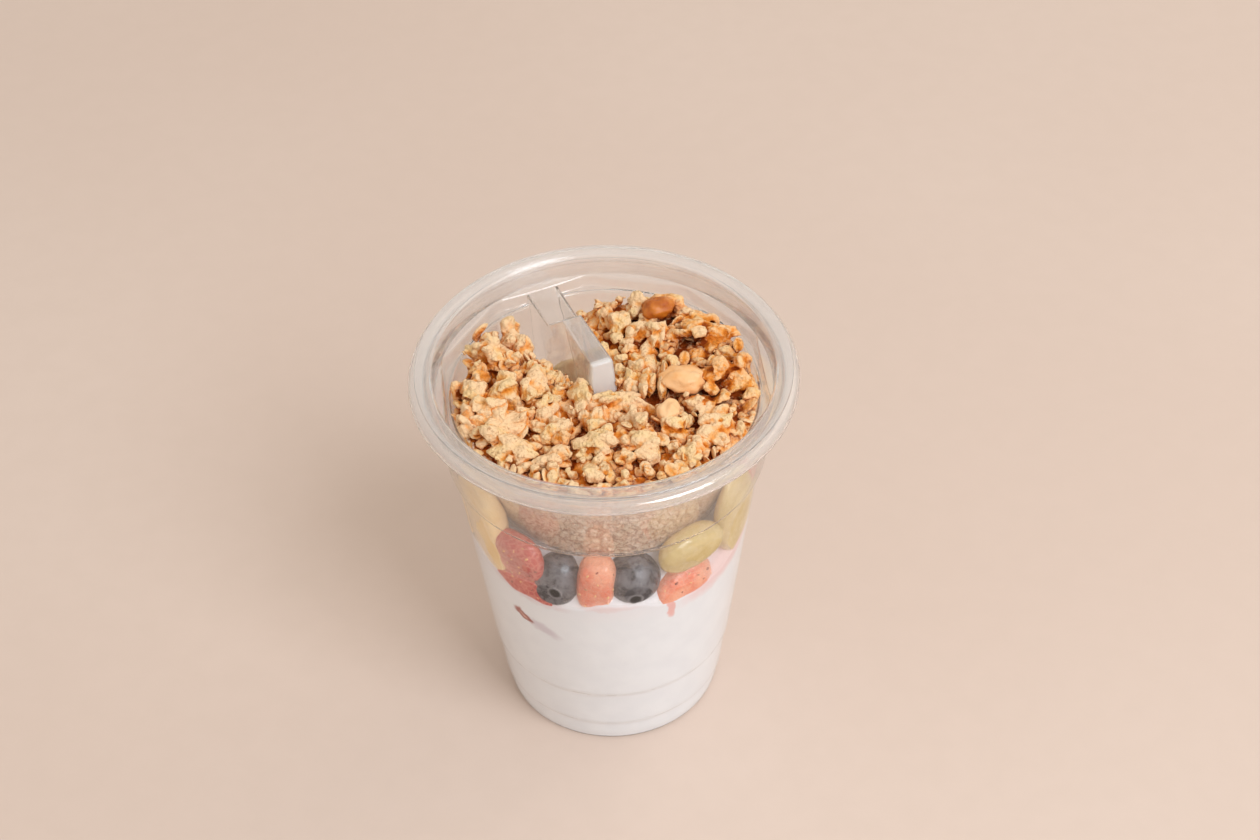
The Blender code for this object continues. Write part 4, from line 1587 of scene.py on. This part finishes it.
# %% Granola core
def make_core():
    steps = 260
    side_shares = np.linspace(0.0, 1.0, 64)
    top_shares = np.linspace(0.985, 0.03, 62)
    rings = [[] for _ in range(2 + len(side_shares) + len(top_shares))]
    for step in range(steps):
        turn = 2 * math.pi * step / steps
        across, along = math.cos(turn), math.sin(turn)
        rim = heap_height(HEAP_REACH * across, HEAP_REACH * along) - SINK - 1.0
        line = [(12.0, CORE_FLOOR), (BOWL[0][1] - 2.0, CORE_FLOOR)]
        for share in side_shares:
            height = CORE_FOOT + share * (rim - CORE_FOOT)
            grain = noise.fractal(Vector((across * 34, along * 34, height)) / 2.1, 1.0, 2.0, 2)
            cleft = 0.35 - 0.75 * min(max(grain, -0.4), 0.4)
            line.append((float(bowl_inside(height)) - 0.12 - max(cleft, 0.0), height))
        reach = line[-1][0]
        for share in top_shares:
            x, y = reach * share * across, reach * share * along
            lump = noise.fractal(Vector((x, y, 3.0)) / 4.5, 1.0, 2.0, 3)
            line.append((reach * share, heap_height(x, y) - SINK + 1.1 * lump))
        for ring, (radius, height) in zip(rings, line):
            ring.append((radius * across, radius * along, height))
    middle = float(np.mean([point[2] for point in rings[-1]]))
    core = ring_stack("granola_core", rings, (0, 0, CORE_FLOOR), (0, 0, middle))
    core = cut(tidy(core), ridge_block("ridge_room", 0.12, 70.0, 60.0, rounding=0.3),
               "granola_core")
    mark_creases(core.data, 6, 0.0004)
    return tidy(core)


def strewn_on(name, mesh, pieces, seed, spacing, sizes, lift, lean, finish):
    """Pieces strewn over the marked parts of a mesh and pressed inside the tray."""
    sown = grown(name, mesh, strewing_tree, Pieces=pieces, Spacing=spacing * MM, Wanted=1e6,
                 Smallest=sizes[0] * MM, Largest=sizes[1] * MM, Lift=lift, Lean=lean, Seed=seed,
                 Finish=finish)
    flat = np.empty(len(sown.data.vertices) * 3)
    sown.data.attributes["home"].data.foreach_get("vector", flat)
    set_mesh_points(sown.data, press_in_tray(mesh_points(sown.data), flat.reshape(-1, 3) / MM))
    return tidy(sown, sharp_from=180.0, recalculate=False)


core = make_core()
core.data.materials.append(shaded)
hand_over(core, "granola", "granola")

# %% [markdown]
# The largest clumps are set out one by one, because a heap is read by its biggest lumps: two
# tall pale ones on the left, a broad brown one on the right, a smooth nut among them. Each is
# grown with its own seed.

# %% Large clumps set out one by one
LARGE = [                     # x, y, size, height over the heap, tone, stretch in x y z
    (-25.0, 22.0, 13.0, 0.5, 0.15, (0.9, 0.9, 1.1)), (-28.0, 12.5, 12.5, 0.5, 0.35, (1, 0.9, 0.8)),
    (-20.5, 17.0, 9.0, 0.0, 0.30, (0.8, 1.0, 0.9)), (-16.0, 11.0, 8.5, -1.5, 0.45, (0.9, 1, 0.8)),
    (-26.0, -2.0, 19.0, 0.6, 0.10, (1.0, 0.85, 0.7)), (-25.0, -12.0, 15.0, 0.3, 0.15, (1, 0.9, 0.7)),
    (-17.5, 0.5, 9.5, 0.3, 0.35, (0.8, 1.2, 0.7)), (-13.5, -5.5, 9.0, 0.3, 0.30, (0.8, 1.1, 0.9)),
    (-6.0, -3.0, 8.0, 0.5, 0.30, (0.75, 1.2, 1.0)), (2.0, -4.5, 10.5, 0.6, 0.30, (1.3, 0.75, 0.7)),
    (3.5, 23.0, 9.5, 0.5, 0.50, (0.9, 1, 0.9)), (8.0, 31.0, 8.5, 0.8, 0.25, (1, 0.9, 0.9)),
    (15.5, 30.0, 9.0, 1.0, 0.95, (1, 0.9, 0.9)), (24.0, 26.0, 11.0, 0.3, 0.45, (1.1, 0.9, 0.7)),
    (9.0, 12.0, 10.0, 0.4, 0.40, (0.9, 1.1, 0.8)), (14.5, 19.0, 10.0, 0.5, 0.45, (0.9, 1.1, 0.8)),
    (26.0, 16.5, 17.0, 0.5, 0.65, (1.1, 0.9, 0.7)), (32.0, 2.5, 18.0, 0.6, 0.80, (1, 1, 0.7)),
    (26.0, -7.0, 11.0, 0.2, 0.60, (1.1, 0.9, 0.7)), (28.0, -15.0, 10.0, 0.0, 0.45, (1, 0.8, 0.7)),
    (10.0, 1.5, 9.0, 0.2, 0.75, (0.55, 1.2, 0.7)), (15.0, 3.0, 8.0, 0.0, 0.45, (0.4, 1.2, 0.8)),
    (6.0, 3.5, 8.0, 0.3, 0.35, (0.8, 1.1, 0.8)), (-3.0, -12.0, 8.5, 0.0, 0.35, (0.8, 1.0, 0.8)),
    (8.0, -12.0, 9.5, 0.2, 0.40, (0.8, 1.1, 0.8)), (-12.0, -15.0, 8.0, 0.2, 0.25, (0.9, 1, 0.8)),
    (17.5, -14.0, 9.0, 0.2, 0.45, (0.9, 1.0, 0.8)), (-2.0, -20.0, 9.0, 0.0, 0.25, (1.2, 0.8, 0.7)),
    (-13.0, -23.0, 8.5, 0.0, 0.25, (1.2, 0.8, 0.7)), (10.0, -22.0, 9.0, 0.2, 0.30, (1, 0.9, 0.8)),
    (-21.0, -19.5, 9.5, 0.0, 0.15, (1.2, 0.8, 0.7)), (20.0, -22.5, 8.0, 0.0, 0.35, (0.8, 0.9, 1)),
]


LARGE_GROWTH = 1.22


def joined(name, meshes):
    """One mesh from several, which keeps their marks."""
    bm = bmesh.new()
    for mesh in meshes:
        bm.from_mesh(mesh)
    whole = bpy.data.meshes.new(name)
    bm.to_mesh(whole)
    bm.free()
    return placed(name, whole)


def toned(mesh, tone, home):
    """Store how brown the piece is, and press it inside the tray on its home's side."""
    store_mark(mesh, "tone", np.full(len(mesh.vertices), tone))
    points = mesh_points(mesh)
    set_mesh_points(mesh, press_in_tray(points, np.tile(home, (len(points), 1))))
    return mesh


def large_clump(number, x, y, size, rise, tone, stretch):
    mesh = clump_mesh("large_%d" % number, 100 + number, int(size * 0.9), 5.6 / size,
                      (1.0, 1.0, 0.9), 0.33 / size, 0.5, rough=0.4 / size, pitch=0.34 * size)
    size *= LARGE_GROWTH
    height = heap_height(x, y) + rise + 0.8 - 0.32 * size * stretch[2]
    chance = np.random.default_rng(number)
    turn = Euler((chance.uniform(-0.4, 0.4), chance.uniform(-0.4, 0.4), chance.uniform(-3, 3)))
    scale = Matrix.Diagonal((*(size * MM * part for part in stretch), 1.0))
    mesh.transform(Matrix.Translation(Vector((x, y, height)) * MM) @ scale @ turn.to_matrix()
                   .to_4x4())
    return toned(mesh, tone, (x, y, height))


large = joined("granola_large_clumps", [large_clump(n, *row) for n, row in enumerate(LARGE)])
large.data.materials.append(baked)
hand_over(tidy(large, sharp_from=180.0, recalculate=False), "granola")

# %% [markdown]
# A few things in the mix are smooth: an almond half, a round nut, and a piece of dried apricot
# at the back. They are slightly uneven ovals with fine lengthways lines.

# %% Smooth pieces
SMOOTH = [                    # x, y, rise, length, width, thickness, turn, tilt, tone
    (20.0, 0.5, 1.2, 12.0, 7.5, 5.5, -8.0, 10.0, 0.3),
    (16.0, -11.0, 0.8, 6.8, 5.8, 4.6, 60.0, 25.0, 0.1),
    (14.0, 27.5, 0.6, 8.5, 7.0, 5.5, 30.0, -20.0, 0.95),
]


def make_smooth_finish():
    finish = Finish("smooth_nut")
    tone = finish.mark("tone")
    blotch = finish.speckle(3.5, detail=3.0)
    fine = finish.speckle(0.8, detail=2.0)
    colour = finish.ramp(tone * 0.8 + (blotch - 0.5) * 0.7 + 0.1, [
        (0.0, (0.89, 0.59, 0.33)), (0.45, (0.84, 0.43, 0.17)), (0.75, (0.62, 0.19, 0.015)),
        (1.0, (0.40, 0.08, 0.003))])
    return finish.principled({
        "Base Color": colour, "Roughness": finish.smooth(blotch, 0.3, 0.7, 0.42, 0.6),
        "Normal": finish.bump(fine, depth_mm=0.15)})


def smooth_piece(number, x, y, rise, length, width, thick, turn, tilt, tone):
    mesh = ball_mesh("smooth_%d" % number, 40, 26)
    points = mesh_points(mesh, BALL_RADIUS)
    push = np.array([noise.fractal(Vector(p) * 1.3 + Vector((number, 0, 0)), 1.0, 2.0, 2)
                     for p in points])
    points = points * (1 + 0.22 * push[:, None]) * (length / 2, width / 2, thick / 2)
    set_mesh_points(mesh, points)
    height = heap_height(x, y) + rise
    spin = Euler((math.radians(tilt), 0, math.radians(turn)))
    mesh.transform(Matrix.Translation(Vector((x, y, height)) * MM) @ spin.to_matrix().to_4x4())
    return toned(mesh, tone, (x, y, height))


smooth = joined("granola_smooth_pieces", [smooth_piece(n, *row) for n, row in enumerate(SMOOTH)])
smooth.data.materials.append(make_smooth_finish())
hand_over(tidy(smooth, sharp_from=180.0, recalculate=False), "granola")

# %% [markdown]
# Smaller clumps fill the room between the large ones, and a tight layer of bits is pressed
# against the tray's bowl. Last come crumbs and whole flakes, strewn over everything that faces
# up. Only a dozen or so shapes are made, and the strewing tree turns and scales them.

# %% Strewn clumps, crumbs and flakes
TOP_LOWEST, TOP_FACING = 90.0, 0.35


def top_mark(mesh, chance_of=1.0, seed=0):
    """1 where the mesh faces up and lies high enough, with some left out at random."""
    points = mesh_points(mesh)
    chance = np.random.default_rng(seed).random(len(points))
    faces_up = mesh_normals(mesh)[:, 2] > TOP_FACING
    return (faces_up & (points[:, 2] > TOP_LOWEST) & (chance < chance_of)) * 1.0


clump_kit = kit("clump_kit", clumps)
bit_kit = kit("bit_kit", crumbs + flakes)
flake_kit = kit("flake_kit", flakes)
core_points = mesh_points(core.data)
core_reach = np.hypot(core_points[:, 0], core_points[:, 1])
on_side = ((bowl_inside(core_points[:, 2]) - core_reach < 1.5) & (core_points[:, 2] > 75.0)) * 1.0
between = top_mark(core.data)
for x, y, size, _, _, _ in LARGE:
    between[np.hypot(core_points[:, 0] - x, core_points[:, 1] - y) < 0.33 * size] = 0.0
middle = strewn_on("granola_clumps", marked(core, between), clump_kit, 5, 4.4, (5.5, 9.5), 0.1,
                   1.5, baked)
hand_over(middle, "granola")
packed = strewn_on("granola_packed_side", marked(core, on_side), bit_kit, 7, 2.3, (3.0, 5.5),
                   -0.12, 0.5, pressed)
hand_over(packed, "granola")
bits = []
for number, (under, kit_used, spacing, sizes) in enumerate([
        (middle, bit_kit, 5.0, (1.2, 3.6)), (large, bit_kit, 6.0, (0.9, 2.4)),
        (core, flake_kit, 5.5, (4.5, 7.5)), (middle, flake_kit, 9.0, (4.0, 6.5))]):
    mesh = marked(under, top_mark(under.data, 0.5, number))
    bits.append(strewn_on("granola_bits_%d" % number, mesh, kit_used, 20 + number, spacing, sizes,
                          0.25, 0.7, baked))
crumbled = joined("granola_crumbs", [piece.data for piece in bits])
for piece in bits:
    bpy.data.objects.remove(piece)
crumbled.data.materials.append(baked)
hand_over(tidy(crumbled, sharp_from=180.0, recalculate=False), "granola")
for used in (bit_kit, flake_kit, clump_kit):
    put_away(used)

# %% [markdown]
# Granola glows a deep orange in its gaps, because light that gets in there has already bounced
# off brown crumbs, and other clumps shade it. That light and shade are painted into the colour.
# Each point is marked with how shut in it is, and the finish browns it by that mark. Rays are
# sent up from it in a few directions, and the share that hits another clump within a short reach
# is kept.

# %% How shut in each point is, for painted shade
UPWARDS = [Vector((math.cos(turn) * math.cos(lift), math.sin(turn) * math.cos(lift),
                   math.sin(lift)))
           for lift, count in ((0.35, 5), (0.85, 5), (1.35, 2))
           for turn in np.arange(count) * 2 * math.pi / count + lift]
CLEAR_OF_SKIN = 0.3           # rays start this far off the skin, in millimetres
GRAZING = 0.05                # a ray at a flatter angle than this is not sent
TURNED_AWAY = 0.6             # what a direction counts for where the skin faces away from it


def surroundings(pieces):
    """A search tree of several pieces together, in millimetres."""
    corners, faces, used = [], [], 0
    for piece in pieces:
        points = mesh_points(piece.data)
        piece.data.calc_loop_triangles()
        flat = np.empty(len(piece.data.loop_triangles) * 3, dtype=np.int64)
        piece.data.loop_triangles.foreach_get("vertices", flat)
        corners.extend(points.tolist())
        faces.extend((flat.reshape(-1, 3) + used).tolist())
        used += len(points)
    return BVHTree.FromPolygons(corners, faces)


def mark_shade_by_clumps(mesh, around, reach_mm=8.0):
    """Store the share of the upward rays that hit something within reach, which the finish paints as shade.
    """
    normals = mesh_normals(mesh)
    points = mesh_points(mesh)
    starts = [Vector(start) for start in points + normals * CLEAR_OF_SKIN]
    shut = np.zeros(len(points))
    for way in UPWARDS:
        facing = normals @ np.array(way) > GRAZING
        shut += np.where(facing, 0.0, TURNED_AWAY)
        for number in np.nonzero(facing)[0]:
            shut[number] += around.ray_cast(starts[number], way, reach_mm)[0] is not None
    shut = neighbour_means(shut[:, None] / len(UPWARDS), mesh_edges(mesh), 1)[:, 0]
    store_mark(mesh, "shut_in", shut)
    return float(shut.mean())


heap = [core, large, smooth, middle, crumbled]
around = surroundings(heap)
for piece in heap:
    print(piece.name, "is shut in by", round(mark_shade_by_clumps(piece.data, around), 2))
